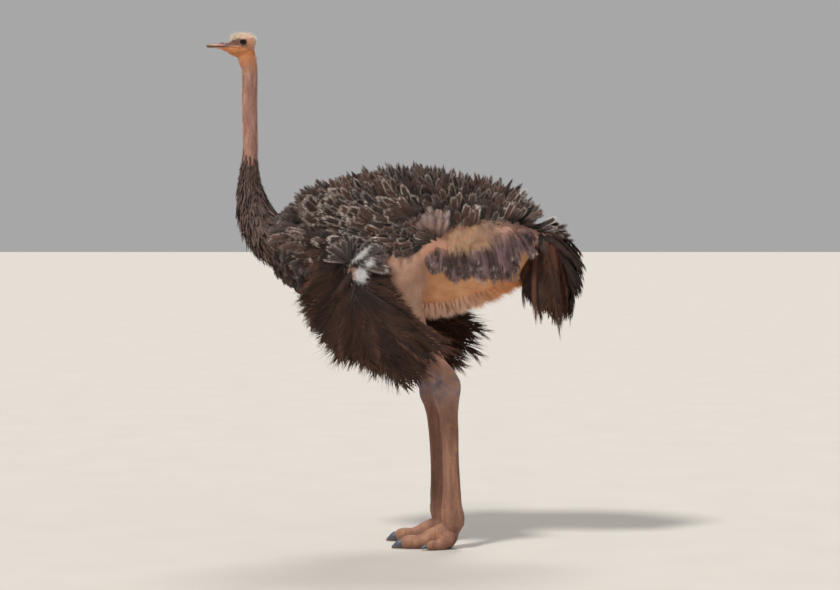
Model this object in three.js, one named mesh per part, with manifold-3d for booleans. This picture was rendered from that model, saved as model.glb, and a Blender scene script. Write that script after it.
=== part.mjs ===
// A life-size standing ostrich hen, ruffled in the heat with drooping wings: a still display model.
// Millimetres, +Z up. The bill points along -X and the bird's left side faces -Y. Soles lie at z = 0.
import * as THREE from "three";
import { mergeVertices } from "three/addons/utils/BufferGeometryUtils.js";
import Module from "manifold-3d";

const wasm = await Module();
wasm.setup();

// ---------------------------------------------------------------- driving dimensions
const GAP = 0.35; // between neighbouring solids
const LEFT = -1; // the sign of y on each side of the bird
const RIGHT = 1;

const BILL_TIP_X = -691;
const EYE = { x: -552, y: 21, z: 1859, radius: 17 };
const GAPE_THICKNESS = 0.8;

const HIP_Z = 1060;
const HOCK_Z = 597;
const STANCE_Y = 105; // half the distance between the feet
const RIGHT_LEG_AHEAD = { hock: -52, ankle: -38, toes: -22 }; // how much further forward the right leg is

// The right wing is swung back from the left wing's place and opened further.
const RIGHT_WING = { swing: 0.17, stretch: 1.25 };

// ---------------------------------------------------------------- helpers: sweeps, locks of feathers and solids
const vec = (x, y, z) => new THREE.Vector3(x, y, z);

// A solid from a closed three.js geometry, turned outward if its mapping turned it inside out.
function solidOf(geometry) {
  geometry.deleteAttribute("normal");
  geometry.deleteAttribute("uv");
  const merged = mergeVertices(geometry, 1e-4);
  const index = new Uint32Array(merged.index.array);
  const vertices = new Float32Array(merged.attributes.position.array);
  const make = () =>
    new wasm.Manifold(new wasm.Mesh({ numProp: 3, vertProperties: vertices, triVerts: index }));
  const made = make();
  if (made.volume() >= 0) return made;
  for (let i = 0; i < index.length; i += 3) [index[i], index[i + 1]] = [index[i + 1], index[i]];
  return make();
}

// A body swept through stations [x, y, z, a, b]. Half-depth a lies across the path in its own plane,
// half-width b lies along `across`. `shape` may scale the radius by the angle and the place along the path,
// and `topHeavy` is the share by which the section is wider above its middle and narrower below.
function sweep(stations, { sides, rings, across = vec(0, 1, 0), grow = 0, shape, topHeavy = 0 }) {
  const path = new THREE.CatmullRomCurve3(stations.map(([x, y, z]) => vec(x, y, z)));
  const sizes = new THREE.CatmullRomCurve3(stations.map(([, , , a, b]) => vec(a, b, 0)));
  const tube = new THREE.CylinderGeometry(1, 1, 1, sides, rings);
  const places = tube.attributes.position;
  for (let i = 0; i < places.count; i++) {
    const along = Math.min(1, Math.max(0, 0.5 - places.getY(i)));
    const c = places.getX(i);
    const s = places.getZ(i);
    const centre = path.getPoint(along);
    const size = sizes.getPoint(along);
    const forward = path.getTangent(along);
    const sideways = across.clone().addScaledVector(forward, -across.dot(forward)).normalize();
    const upward = vec(0, 0, 0).crossVectors(forward, sideways);
    const scale = shape ? shape(Math.atan2(s, c), along) : 1;
    centre.addScaledVector(upward, c * (size.x * scale + grow));
    centre.addScaledVector(sideways, s * (size.y * scale * (1 + topHeavy * c) + grow));
    if (along === 0) centre.addScaledVector(forward, -grow);
    if (along === 1) centre.addScaledVector(forward, grow);
    places.setXYZ(i, centre.x, centre.y, centre.z);
  }
  return solidOf(tube);
}

// One lock of feathers: a flat leaf with a round tip, bowed by `sag`, whose broad faces lie across `normal`.
const LOCK_OUTLINE = [
  { along: 0, share: 0.6 },
  { along: 0.5, share: 1 },
  { along: 0.86, share: 0.82 },
  { along: 1, share: 0.3 },
];
function lock(root, tip, width, thickness, normal, sag = vec(0, 0, 0), grow = 0) {
  const whole = tip.clone().sub(root);
  const across = vec(0, 0, 0).crossVectors(whole, normal).normalize();
  const stations = LOCK_OUTLINE.map(({ along, share }) => {
    const p = root.clone().addScaledVector(whole, along).addScaledVector(sag, 4 * along * (1 - along));
    return [p.x, p.y, p.z, (thickness / 2) * share, (width / 2) * share];
  });
  return sweep(stations, { sides: 4, rings: 3, across, grow });
}

const union = (solids) => solids.reduce((all, one) => all.add(one));
const largest = (solid) =>
  solid.decompose().reduce((best, one) => (one.volume() > best.volume() ? one : best));
const aboveFloor = (solid) => solid.trimByPlane([0, 0, 1], 0);
const mirrored = (stations, side) => stations.map(([x, y, z, a, b]) => [x, side * y, z, a, b]);

// ---------------------------------------------------------------- head, bill and eyes
const HEAD_STATIONS = [
  [-611, 0, 1841.5, 17, 21],
  [-598, 0, 1840, 27, 26],
  [-580, 0, 1841, 38, 32],
  [-560, 0, 1846, 44, 36],
  [-541, 0, 1850, 42, 37],
  [-525, 0, 1851, 36, 34],
  [-512, 0, 1848, 26, 26],
  [-505, 0, 1845, 10, 10],
];
const head = (grow) => sweep(HEAD_STATIONS, { sides: 12, rings: 7, grow });

// The whole bill, which the line of the mouth parts into its upper and lower halves.
const BILL_STATIONS = [
  [BILL_TIP_X, 0, 1846.5, 2.5, 8],
  [-684, 0, 1847, 5.5, 15],
  [-665, 0, 1847, 6.5, 18],
  [-650, 0, 1847, 8, 18.5],
  [-636, 0, 1846, 11, 19],
  [-622, 0, 1844, 15, 20],
  [-611.5, 0, 1842, 18.5, 21],
];
const MOUTH_LINE = [
  [-700, 1846],
  [-650, 1845],
  [-605, 1841],
];
const bill = (grow) => sweep(BILL_STATIONS, { sides: 12, rings: 6, grow });

// A plate that follows the line of the mouth and reaches `depth` down from it.
function mouthPlate(top, depth) {
  const outline = new THREE.Shape();
  MOUTH_LINE.forEach(([x, z], i) => (i ? outline.lineTo(x, z + top) : outline.moveTo(x, z + top)));
  [...MOUTH_LINE].reverse().forEach(([x, z]) => outline.lineTo(x, z + top - depth));
  const reach = 80;
  const plate = new THREE.ExtrudeGeometry(outline, { depth: reach, bevelEnabled: false });
  plate.translate(0, 0, -reach / 2);
  plate.rotateX(Math.PI / 2);
  return solidOf(plate);
}
const upperBill = (grow) => bill(grow).subtract(mouthPlate(GAPE_THICKNESS / 2 - grow, 60));
const lowerBill = (grow) => bill(grow).subtract(mouthPlate(60, 60 + GAPE_THICKNESS / 2 - grow));

function eye(side, grow) {
  const ball = new THREE.SphereGeometry(EYE.radius + grow, 10, 7);
  ball.translate(EYE.x, side * EYE.y, EYE.z);
  return solidOf(ball);
}

// ---------------------------------------------------------------- neck and trunk
// A ruffled coat: every second place of the mesh is raised, most along the back, least below and not at
// the two ends.
const ruffled = ({ sides, rings, above, below }) => (angle, along) => {
  const column = Math.round((angle / (2 * Math.PI)) * sides);
  const raised = (Math.round(along * rings) + column) % 2 === 0;
  const height = THREE.MathUtils.lerp(below, above, (1 + Math.cos(angle)) / 2);
  return raised ? 1 + height * Math.min(1, 2 * Math.sin(Math.PI * along)) : 1;
};

const UPPER_NECK = [
  [-537, 0, 1840, 25, 26],
  [-539.5, 0, 1814, 33, 30],
  [-538, 0, 1795, 33.5, 30],
  [-532, 0, 1768, 28.6, 27.5],
  [-531, 0, 1735, 28, 27],
  [-532, 0, 1650, 28, 27],
  [-531.5, 0, 1583, 27.5, 26.5],
  [-529.5, 0, 1483, 27.5, 27],
  [-532, 0, 1419, 32, 30],
  [-533, 0, 1400, 33, 31],
];
const LOWER_NECK = [
  [-532, 0, 1421, 32, 30],
  [-533, 0, 1365, 44, 41],
  [-528, 0, 1300, 56, 52],
  [-514, 0, 1245, 66, 61],
  [-488, 0, 1190, 78, 73],
  [-450, 0, 1156, 97, 89],
  [-404, 0, 1137, 117, 106],
  [-365, 0, 1122, 112, 104],
];
const TRUNK = [
  [-402, 0, 1134, 126, 116],
  [-350, 0, 1114, 157, 138],
  [-290, 0, 1105, 184, 160],
  [-200, 0, 1098, 221, 186],
  [-100, 0, 1097, 247, 202],
  [0, 0, 1101, 258, 206],
  [100, 0, 1102, 256, 204],
  [200, 0, 1101, 244, 200],
  [300, 0, 1104, 214, 188],
  [380, 0, 1106, 183, 166],
  [440, 0, 1107, 152, 140],
  [490, 0, 1115, 111, 104],
  [530, 0, 1131, 62, 64],
  [556, 0, 1140, 22, 26],
];
const TRUNK_MESH = { sides: 20, rings: 20, above: 0.085, below: 0 };
const NECK_MESH = { sides: 12, rings: 14, above: 0.05, below: 0.05 };
const TOP_HEAVY = 0.2; // the trunk is wider over the back and narrower over the belly by this share
const upperNeck = (grow) => sweep(UPPER_NECK, { sides: 10, rings: 9, grow });
const lowerNeck = (grow) => sweep(LOWER_NECK, { ...NECK_MESH, grow, shape: ruffled(NECK_MESH) });

// The outline that the tips of the ruffled back feathers reach, and the way each one leans:
// [x, top z, lean] with the lean in degrees forward of upright.
const CREST = [
  [-300, 1320, 48],
  [-240, 1345, 46],
  [-182, 1368, 43],
  [-124, 1382, 41],
  [-66, 1391, 38],
  [-8, 1402, 34],
  [50, 1410, 29],
  [108, 1404, 23],
  [166, 1399, 17],
  [224, 1386, 10],
  [282, 1372, 3],
  [340, 1366, -4],
  [396, 1353, -12],
  [450, 1333, -20],
  [500, 1306, -29],
  [545, 1272, -38],
  [585, 1231, -49],
  [617, 1185, -62],
];
const CREST_LOCK = { length: 130, width: 76, thickness: 66, aside: 48 };

function crestLocks(grow) {
  const { length, width, thickness, aside } = CREST_LOCK;
  return CREST.map(([x, top, lean], i) => {
    const back = THREE.MathUtils.degToRad(lean);
    const y = [0, aside, -aside][i % 3];
    const root = vec(x + length * Math.sin(back), y * 0.6, top - length * Math.cos(back));
    return lock(root, vec(x, y, top), width, thickness, vec(0, 1, 0), vec(0, 0, 0), grow);
  });
}

// The fringe of broad feathers that hangs from each flank over the bare belly: [tip x, tip y, tip z].
const FLANK_TIPS = [
  [172, 212, 1012],
  [244, 209, 1000],
  [316, 199, 1000],
  [386, 180, 1008],
  [448, 154, 1028],
];
const FLANK_LOCK = { rise: 135, forward: 26, inward: 14, width: 96, thickness: 52 };

function flankLocks(grow) {
  const { rise, forward, inward, width, thickness } = FLANK_LOCK;
  return [LEFT, RIGHT].flatMap((side) =>
    FLANK_TIPS.map(([x, y, z]) => {
      const root = vec(x - forward, side * (y - inward), z + rise);
      return lock(root, vec(x, side * y, z), width, thickness, vec(0, side, 0), vec(0, side * 8, 0), grow);
    }),
  );
}
const trunk = (grow) => {
  const body = sweep(TRUNK, { ...TRUNK_MESH, grow, shape: ruffled(TRUNK_MESH), topHeavy: TOP_HEAVY });
  return union([body, ...crestLocks(grow), ...flankLocks(grow)]);
};

// ---------------------------------------------------------------- tail
const TAIL_ROOT = vec(545, 0, 1150);
// Each lock hangs from the tail's root: [tip x, tip y, tip z, width].
const TAIL_LOCKS = [
  [480, -62, 948, 96],
  [480, 62, 948, 96],
  [528, -98, 878, 112],
  [532, 98, 874, 112],
  [590, -102, 842, 112],
  [596, 100, 844, 112],
  [626, 0, 830, 120],
  [648, -64, 852, 104],
  [650, 64, 856, 104],
];
const TAIL_LOCK_THICKNESS = 40;
const TAIL_CORE = [
  [545, 0, 1150, 34, 40],
  [573, 0, 1138, 54, 74],
  [594, 0, 1085, 70, 98],
  [600, 0, 1010, 74, 106],
  [600, 0, 940, 62, 96],
  [600, 0, 885, 28, 56],
];
function tail(grow) {
  const locks = TAIL_LOCKS.map(([x, y, z, width]) => {
    const root = TAIL_ROOT.clone().add(vec(20, y * 0.5, -10));
    const sag = vec((x - 520) * 0.16, y * 0.15, 16);
    const outward = vec(0.25, y < 0 ? -1 : 1, 0);
    return lock(root, vec(x, y, z), width, TAIL_LOCK_THICKNESS, outward, sag, grow);
  });
  return union([sweep(TAIL_CORE, { sides: 10, rings: 5, grow }), ...locks]);
}

// ---------------------------------------------------------------- wings
const SHOULDER = vec(-235, 150, 1150);
const ELBOW = vec(-148, 262, 1050);
const WRIST = vec(-128, 286, 925);
const armPoint = (s) => (s < 1 ? SHOULDER.clone().lerp(ELBOW, s) : ELBOW.clone().lerp(WRIST, s - 1));
// The wing's drooping plumes: [root, tip x, tip y, tip z, width], where the root is counted along the arm,
// 0 at the shoulder, 1 at the elbow and 2 at the wrist.
const WING_PLUMES = [
  [1.0, -322, 196, 905, 124],
  [1.15, -310, 212, 826, 136],
  [1.35, -258, 234, 750, 140],
  [1.6, -182, 254, 698, 142],
  [1.8, -104, 266, 658, 140],
  [2.0, -28, 272, 634, 130],
  [2.0, 44, 274, 618, 120],
  [2.0, 104, 270, 648, 108],
  [2.0, 150, 262, 690, 102],
  [2.0, 186, 254, 740, 92],
  [1.8, 92, 264, 826, 104],
  [1.4, 8, 266, 925, 104],
];
const WING_COVERTS = [
  [1.0, -52, 258, 1018, 60], // a short dark covert that points back from the elbow
  [0.9, -250, 236, 985, 108],
  [0.55, -302, 184, 1070, 108],
  [0.15, -332, 150, 1150, 104],
];
const PLUME_THICKNESS = 30;
const ARM = [
  [-250, 122, 1162, 44, 30],
  [-215, 178, 1128, 50, 32],
  [-178, 230, 1084, 50, 32],
  [-148, 262, 1046, 50, 30],
  [-138, 276, 985, 48, 24],
  [-128, 286, 925, 44, 20],
  [-112, 288, 868, 26, 14],
];

function wing(side, grow) {
  const place = (x, y, z) => vec(x, side * y, z);
  const { swing, stretch } = side === RIGHT ? RIGHT_WING : { swing: 0, stretch: 1 };
  const hinge = place(SHOULDER.x, SHOULDER.y, SHOULDER.z);
  const outward = vec(0.1, side, 0.12);
  const feather = (bow) => ([along, x, y, z, width]) => {
    const root = place(...armPoint(along).toArray());
    const tip = root.clone().lerp(place(x, y, z), stretch);
    return lock(root, tip, width * stretch, PLUME_THICKNESS, outward, place(0, bow, 5), grow);
  };
  const plumes = WING_PLUMES.map(feather(10));
  const coverts = WING_COVERTS.map(feather(16));
  const arm = sweep(mirrored(ARM, side), { sides: 8, rings: 6, grow });
  return union([arm, ...plumes, ...coverts]).transform(swungBy(hinge, swing));
}

// The column-major matrix of a turn about the y axis through a point.
function swungBy(point, angle) {
  const turn = new THREE.Matrix4().makeTranslation(point.x, point.y, point.z);
  turn.multiply(new THREE.Matrix4().makeRotationY(-angle));
  turn.multiply(new THREE.Matrix4().makeTranslation(-point.x, -point.y, -point.z));
  return turn.elements;
}

// ---------------------------------------------------------------- legs and feet
// Stations of the left leg, with y as the distance out from the midline.
const THIGH = [
  [-30, 84, 1196, 56, 50],
  [-28, 100, 1172, 92, 76],
  [-24, 118, 1128, 118, 94],
  [-12, 131, 1060, 130, 104],
  [0, 133, 1000, 126, 99],
  [14, 128, 940, 104, 84],
  [34, 123, 880, 76, 68],
  [60, 119, 820, 62, 53],
  [95, 115, 760, 50, 42],
  [136, 112, 700, 43, 35],
  [152, 111, 676, 38, 30],
];
const HOCK = [
  [136, 112, 700, 43, 35],
  [160, 111, 664, 42, 33],
  [184, 110, 626, 48, 35],
  [195, 109, HOCK_Z - 7, 52, 38],
  [197, 108, 552, 47, 36],
  [200, 108, 520, 40, 31],
  [202, 107, 500, 30, 24],
];
const SHANK = [
  [200, 108, 520, 40, 31],
  [204, 107, 478, 33, 26],
  [207, 106, 430, 30.5, 24],
  [210, 106, 340, 28.5, 23],
  [213, 105, 240, 31, 24],
  [214, STANCE_Y, 170, 36, 27],
  [217, STANCE_Y, 122, 41, 33],
  [221, STANCE_Y, 96, 40, 34],
  [224, STANCE_Y, 68, 28, 28],
  [226, STANCE_Y, 56, 12, 14],
];
const BIG_TOE = [
  [240, -4, 52, 22, 20],
  [214, -4, 52, 50, 30],
  [182, -4, 45, 49, 33],
  [150, -4, 36, 40, 33],
  [116, -4, 28.5, 32, 31],
  [84, -4, 23, 27, 31],
  [56, -4, 21, 26, 30],
  [34, -4, 17.5, 22, 24],
  [25, -4, 15, 12, 13],
]; // y is measured from the foot's own middle, outward
const SMALL_TOE = [
  [226, 18, 50, 16, 16],
  [208, 26, 38, 27, 20],
  [184, 34, 25, 26, 21],
  [158, 43, 18, 21, 20],
  [134, 51, 15, 18, 19],
  [118, 56, 13, 11, 12],
];
const BIG_CLAW = [
  [30, -4, 17.5, 18.5, 17],
  [18, -4, 13.5, 15.5, 15],
  [6, -4, 8.5, 10, 10],
  [-4, -4, 4, 4.5, 4],
];
const SMALL_CLAW = [
  [122, 55, 15, 8, 8],
  [112, 58.5, 12, 5.5, 5.5],
  [103, 61, 8, 2.5, 2.5],
];

// Moves a leg's stations to its side, leaning the right leg forward between its hip, hock and ankle.
function legStations(stations, side) {
  const ahead = side === RIGHT ? RIGHT_LEG_AHEAD : { hock: 0, ankle: 0 };
  return stations.map(([x, y, z, a, b]) => {
    const above = THREE.MathUtils.clamp((z - HOCK_Z) / (HIP_Z - HOCK_Z), 0, 1);
    const below = THREE.MathUtils.clamp(z / HOCK_Z, 0, 1);
    const shift =
      z > HOCK_Z ? ahead.hock * (1 - above) : THREE.MathUtils.lerp(ahead.ankle, ahead.hock, below);
    return [x + shift, side * y, z, a, b];
  });
}
const footStations = (stations, side) =>
  stations.map(([x, out, z, a, b]) => [
    x + (side === RIGHT ? RIGHT_LEG_AHEAD.toes : 0),
    side * (STANCE_Y + out),
    z,
    a,
    b,
  ]);
const legPart = (stations, options) => (side, grow) =>
  sweep(legStations(stations, side), { ...options, grow });
const footPart = (stations, options) => (side, grow) =>
  aboveFloor(sweep(footStations(stations, side), { ...options, grow }));

const thigh = legPart(THIGH, { sides: 12, rings: 10 });
const hock = legPart(HOCK, { sides: 12, rings: 6 });
const shank = legPart(SHANK, { sides: 10, rings: 9 });
const bigToe = footPart(BIG_TOE, { sides: 10, rings: 8 });
const smallToe = footPart(SMALL_TOE, { sides: 8, rings: 5 });
const bigClaw = footPart(BIG_CLAW, { sides: 8, rings: 3 });
const smallClaw = footPart(SMALL_CLAW, { sides: 8, rings: 2 });

// ---------------------------------------------------------------- colours
const finish = (colour, roughness) =>
  new THREE.MeshStandardMaterial({ color: new THREE.Color(...colour), roughness, metalness: 0 });
const SKIN = finish([0.42, 0.26, 0.2], 0.6);
const SCALY_SKIN = finish([0.38, 0.22, 0.18], 0.55);
const FEATHER = finish([0.07, 0.05, 0.045], 0.8);
const HORN = finish([0.34, 0.24, 0.15], 0.4);
const CLAW = finish([0.1, 0.09, 0.1], 0.35);
const EYE_DARK = finish([0.03, 0.015, 0.01], 0.08);

// ---------------------------------------------------------------- the whole bird
// Each part gives way to the ones above it, so that neighbours meet with a thin gap.
const PARTS = [
  ["eye_left", (g) => eye(LEFT, g), EYE_DARK],
  ["eye_right", (g) => eye(RIGHT, g), EYE_DARK],
  ["upper_bill", upperBill, HORN],
  ["lower_bill", lowerBill, HORN],
  ["head", head, SKIN],
  ["trunk", trunk, FEATHER],
  ["lower_neck", lowerNeck, FEATHER],
  ["upper_neck", upperNeck, SKIN],
  ...[
    ["left", LEFT],
    ["right", RIGHT],
  ].flatMap(([name, side]) => [
    [`big_claw_${name}`, (g) => bigClaw(side, g), CLAW],
    [`small_claw_${name}`, (g) => smallClaw(side, g), CLAW],
    [`shank_${name}`, (g) => shank(side, g), SCALY_SKIN],
    [`big_toe_${name}`, (g) => bigToe(side, g), SCALY_SKIN],
    [`small_toe_${name}`, (g) => smallToe(side, g), SCALY_SKIN],
    [`hock_${name}`, (g) => hock(side, g), SCALY_SKIN],
    [`thigh_${name}`, (g) => thigh(side, g), SKIN],
    [`wing_${name}`, (g) => wing(side, g), FEATHER],
  ]),
  ["tail", tail, FEATHER],
];

const bird = new THREE.Group();
const spaces = []; // the grown shapes that later parts keep out of
for (const [name, build, material] of PARTS) {
  let solid = build(0);
  const low = solid.boundingBox();
  for (const { box, space } of spaces) {
    const apart = [0, 1, 2].some((k) => box.min[k] > low.max[k] || box.max[k] < low.min[k]);
    if (!apart) solid = solid.subtract(space);
  }
  solid = largest(solid);
  const grown = build(GAP);
  spaces.push({ space: grown, box: grown.boundingBox() });
  const { numProp, vertProperties, triVerts } = solid.getMesh();
  const geometry = new THREE.BufferGeometry();
  const places = new THREE.InterleavedBuffer(vertProperties, numProp);
  geometry.setAttribute("position", new THREE.InterleavedBufferAttribute(places, 3, 0));
  geometry.setIndex(new THREE.BufferAttribute(triVerts, 1));
  const flat = geometry.toNonIndexed();
  flat.computeVertexNormals();
  const mesh = new THREE.Mesh(flat, material);
  mesh.name = name;
  bird.add(mesh);
}

// The frame's origin is at the middle of the bird's length and width, at the level of its soles.
const box = new THREE.Box3().setFromObject(bird);
const middle = box.getCenter(vec(0, 0, 0));
bird.position.set(-middle.x, -middle.y, -box.min.z);

export default bird;
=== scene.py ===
"""A life-size ostrich hen that stands ruffled in the heat, as a museum model: its skin, bill, eyes,
claws and feathers. Tables are in millimetres, with the bill along -X and the left side towards -Y."""

import math

import bmesh
import bpy
import numpy as np
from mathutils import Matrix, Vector
from mathutils.kdtree import KDTree


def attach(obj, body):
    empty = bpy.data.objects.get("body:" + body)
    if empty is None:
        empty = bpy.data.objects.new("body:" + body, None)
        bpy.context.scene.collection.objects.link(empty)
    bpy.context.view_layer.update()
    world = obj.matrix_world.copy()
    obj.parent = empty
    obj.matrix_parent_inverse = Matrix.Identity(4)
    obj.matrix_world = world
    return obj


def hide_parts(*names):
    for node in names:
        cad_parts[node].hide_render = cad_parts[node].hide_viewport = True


MM = 0.001
TO_FRAME = np.array([0.727, 0.0, 0.0])  # from the tables' middle to the frame's, in millimetres
LEFT = -1
RIGHT = 1
SIDES = (LEFT, RIGHT)
STANCE_Y = 105.0
HIP_Z = 1060.0
HOCK_Z = 597.0
RIGHT_LEG_AHEAD = {"hock": -52.0, "ankle": -38.0, "toes": -22.0}
RIGHT_WING = {"swing": 0.17, "stretch": 1.25}
SHOULDER = np.array([-235.0, 150.0, 1150.0])
WING_FLAT_FROM, WING_FLATTENED = 292, 0.65  # feathers further out than this are drawn in by this share
ELBOW_FLUFF, LONG_COVERTS, HAIRS_IN_A_LOCK = 12, 7, 70
PATCH_HALF, PATCH_LONG = 0.00125, 0.0029  # a feather's own patch on OFBake
EYE = np.array([-552.0, 21.0, 1859.0])
EYE_RADIUS = 17.0
LID_THICKNESS = 2.2
SOCKET_GAP = 0.15
POLE_MERGE = 1e-6  # in metres
NUDGE_ALONG = 0.004  # a loft's direction is measured this far to either side, of its length
SHANK_PLATE, TOE_PLATE = 11.5, 9.5  # from one broad plate to the next
ON_NECK, ON_TRUNK, ON_LEG, ON_TOE, ON_HEAD = range(5)
PUPIL = (6.5892, 6.5892, 6.5892)

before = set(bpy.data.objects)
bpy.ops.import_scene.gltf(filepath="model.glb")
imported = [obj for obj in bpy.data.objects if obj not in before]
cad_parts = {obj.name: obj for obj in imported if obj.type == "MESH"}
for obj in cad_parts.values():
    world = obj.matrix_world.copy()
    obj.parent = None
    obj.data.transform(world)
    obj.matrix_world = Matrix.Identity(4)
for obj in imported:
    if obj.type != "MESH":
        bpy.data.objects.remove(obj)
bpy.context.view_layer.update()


# ---------------------------------------------------------------- number helpers
def step(low, high, value):
    """0 below low, 1 above high and smooth in between. It falls where low is above high."""
    t = np.clip((np.asarray(value, float) - low) / (high - low), 0, 1)
    return t * t * (3 - 2 * t)


def hill(value, middle, reach):
    """1 at the middle, falling smoothly to nothing about 2 reaches away."""
    return np.exp(-(((np.asarray(value, float) - middle) / reach) ** 2))


def unit(vectors):
    return vectors / np.maximum(np.linalg.norm(vectors, axis=-1, keepdims=True), 1e-9)


def between(knots, rows, at):
    """A smooth curve through the rows of a table."""
    slopes = np.gradient(rows, knots, axis=0)
    i = np.clip(np.searchsorted(knots, at, side="right") - 1, 0, len(knots) - 2)
    gap = (knots[i + 1] - knots[i])[..., None]
    t = (np.asarray(at) - knots[i])[..., None] / gap
    a = rows[i] * (2 * t**3 - 3 * t**2 + 1) + slopes[i] * gap * (t**3 - 2 * t**2 + t)
    return a + rows[i + 1] * (3 * t**2 - 2 * t**3) + slopes[i + 1] * gap * (t**3 - t**2)


def rings_of_quads(rings, sides):
    """The faces between each ring of vertices and the next."""
    faces = []
    for i in range(rings):
        for j in range(sides):
            k = (j + 1) % sides
            faces.append((i * sides + j, i * sides + k, (i + 1) * sides + k, (i + 1) * sides + j))
    return faces


class Loft:
    """A body swept through stations [x, y, z, half-depth, half-width]. A place on it is (u, v): u runs
    along the path and v is the angle round it, 0 above a level path or behind a path that runs down."""

    def __init__(self, stations, relief=None, top_heavy=0.0):
        self.rows = np.array(stations, float)
        steps = np.linalg.norm(np.diff(self.rows[:, :3], axis=0), axis=1)
        self.knots = np.concatenate([[0], np.cumsum(steps)]) / steps.sum()
        self.reach = steps.sum()
        self.relief, self.top_heavy = relief, top_heavy

    def axes(self, u):
        at, ahead, behind = (between(self.knots, self.rows, place) for place in (
            u, np.clip(u + NUDGE_ALONG, 0, 1), np.clip(u - NUDGE_ALONG, 0, 1)))
        forward = unit((ahead - behind)[..., :3])
        sideways = unit(np.array([0.0, 1.0, 0.0]) - forward * forward[..., 1:2])
        return at, sideways, np.cross(forward, sideways)

    def place(self, u, v):
        u, v = np.broadcast_arrays(np.asarray(u, float), np.asarray(v, float))
        at, sideways, upward = self.axes(u)
        lift = self.relief(u, v, at) if self.relief else 0.0
        c, s = np.cos(v), np.sin(v)
        high = at[..., 3] * c + lift * c
        wide = at[..., 4] * s * (1 + self.top_heavy * c) + lift * s
        return at[..., :3] + upward * high[..., None] + sideways * wide[..., None]

    def outward(self, u, v):
        u, v = np.broadcast_arrays(np.asarray(u, float), np.asarray(v, float))
        along = self.place(np.clip(u + 0.01, 0, 1), v) - self.place(np.clip(u - 0.01, 0, 1), v)
        round_it = self.place(u, v + 0.03) - self.place(u, v - 0.03)
        return unit(np.cross(along, round_it))

    def seat(self, u, v):
        """Where a feather is rooted, and the way the skin faces there."""
        return self.place(u, v), self.outward(u, v)

    def grid(self, rings, sides):
        """The loft as a closed mesh."""
        u, v = np.meshgrid(np.linspace(0, 1, rings + 1), np.arange(sides) * math.tau / sides, indexing="ij")
        verts = self.place(u, v).reshape(-1, 3)
        faces = rings_of_quads(rings, sides)
        for j in range(sides):
            k = (j + 1) % sides
            faces += [(len(verts), k, j), (len(verts) + 1, rings * sides + j, rings * sides + k)]
        return np.vstack([verts, self.rows[[0, -1], :3]]), faces


# ---------------------------------------------------------------- meshes
def cleaned(mesh, merge=0.0, collapse=0.0):
    """Merges near vertices. Then collapses faces with no area, or else turns all faces outwards."""
    shell = bmesh.new()
    shell.from_mesh(mesh)
    if merge:
        bmesh.ops.remove_doubles(shell, verts=shell.verts, dist=merge)
    if collapse:
        bmesh.ops.dissolve_degenerate(shell, edges=shell.edges, dist=collapse)
    else:
        bmesh.ops.recalc_face_normals(shell, faces=shell.faces)
    shell.to_mesh(mesh)
    shell.free()


def mesh_object(name, verts, faces):
    """verts are in the tables' millimetres."""
    mesh = bpy.data.meshes.new(name)
    mesh.from_pydata(((np.asarray(verts) + TO_FRAME) * MM).tolist(), [], [list(map(int, f)) for f in faces])
    mesh.validate()
    cleaned(mesh)
    mesh.polygons.foreach_set("use_smooth", [True] * len(mesh.polygons))
    return shown(name, mesh)


def shown(name, data):
    made = bpy.data.objects.new(name, data)
    bpy.context.collection.objects.link(made)
    return made


def combined(first, second, operation):
    """first with second joined to it or cut from it. second is used up."""
    cut = first.modifiers.new("cut", "BOOLEAN")
    cut.operation, cut.solver, cut.object = operation, "EXACT", second
    seen = first.evaluated_get(bpy.context.evaluated_depsgraph_get())
    mesh = bpy.data.meshes.new_from_object(seen)
    first.modifiers.clear()
    first.data = mesh
    mesh.name = first.name
    bpy.data.objects.remove(second)
    return first


def spots(mesh):
    co = np.empty(len(mesh.vertices) * 3)
    mesh.vertices.foreach_get("co", co)
    return co.reshape(-1, 3) / MM - TO_FRAME


def put_spots(mesh, verts):
    mesh.vertices.foreach_set("co", ((verts + TO_FRAME) * MM).ravel())
    mesh.update()


def write(mesh, **named):
    for name, values in named.items():
        layer = mesh.attributes.new(name, "FLOAT", "POINT")
        layer.data.foreach_set("value", np.asarray(values, np.float32))


def neighbours(mesh):
    """Each edge both ways, and how many neighbours each vertex has."""
    pairs = np.empty(len(mesh.edges) * 2, np.int64)
    mesh.edges.foreach_get("vertices", pairs)
    pairs = pairs.reshape(-1, 2)
    both = np.vstack([pairs, pairs[:, ::-1]])
    return both, np.maximum(np.bincount(both[:, 0], minlength=len(mesh.vertices)), 1)


def blurred(values, links, rounds):
    both, count = links
    values = np.asarray(values, float)
    for _ in range(rounds):
        values = 0.4 * values + 0.6 * np.bincount(both[:, 0], values[both[:, 1]], len(count)) / count
    return values


def relaxed(verts, links, near, share, rounds):
    """Draws each vertex towards the middle of its neighbours, by its nearness, 0 to 1."""
    both, count = links
    for _ in range(rounds):
        sums = [np.bincount(both[:, 0], verts[both[:, 1], axis], len(count)) for axis in range(3)]
        verts += (np.stack(sums, -1) / count[:, None] - verts) * near[:, None] * share
    return verts


def soften_creases(obj, least_turn, rings, rounds):
    """Rounds the folds where lofts were joined."""
    shell = bmesh.new()
    shell.from_mesh(obj.data)
    near = np.zeros(len(shell.verts))
    for edge in shell.edges:
        if len(edge.link_faces) == 2 and edge.calc_face_angle(0.0) > least_turn:
            near[[vert.index for vert in edge.verts]] = 1
    shell.free()
    links = neighbours(obj.data)
    both = links[0]
    for _ in range(rings):
        wider = near.copy()
        np.maximum.at(wider, both[:, 0], near[both[:, 1]] * 0.86)
        near = wider
    put_spots(obj.data, relaxed(spots(obj.data), links, near, 0.7, rounds))


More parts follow.
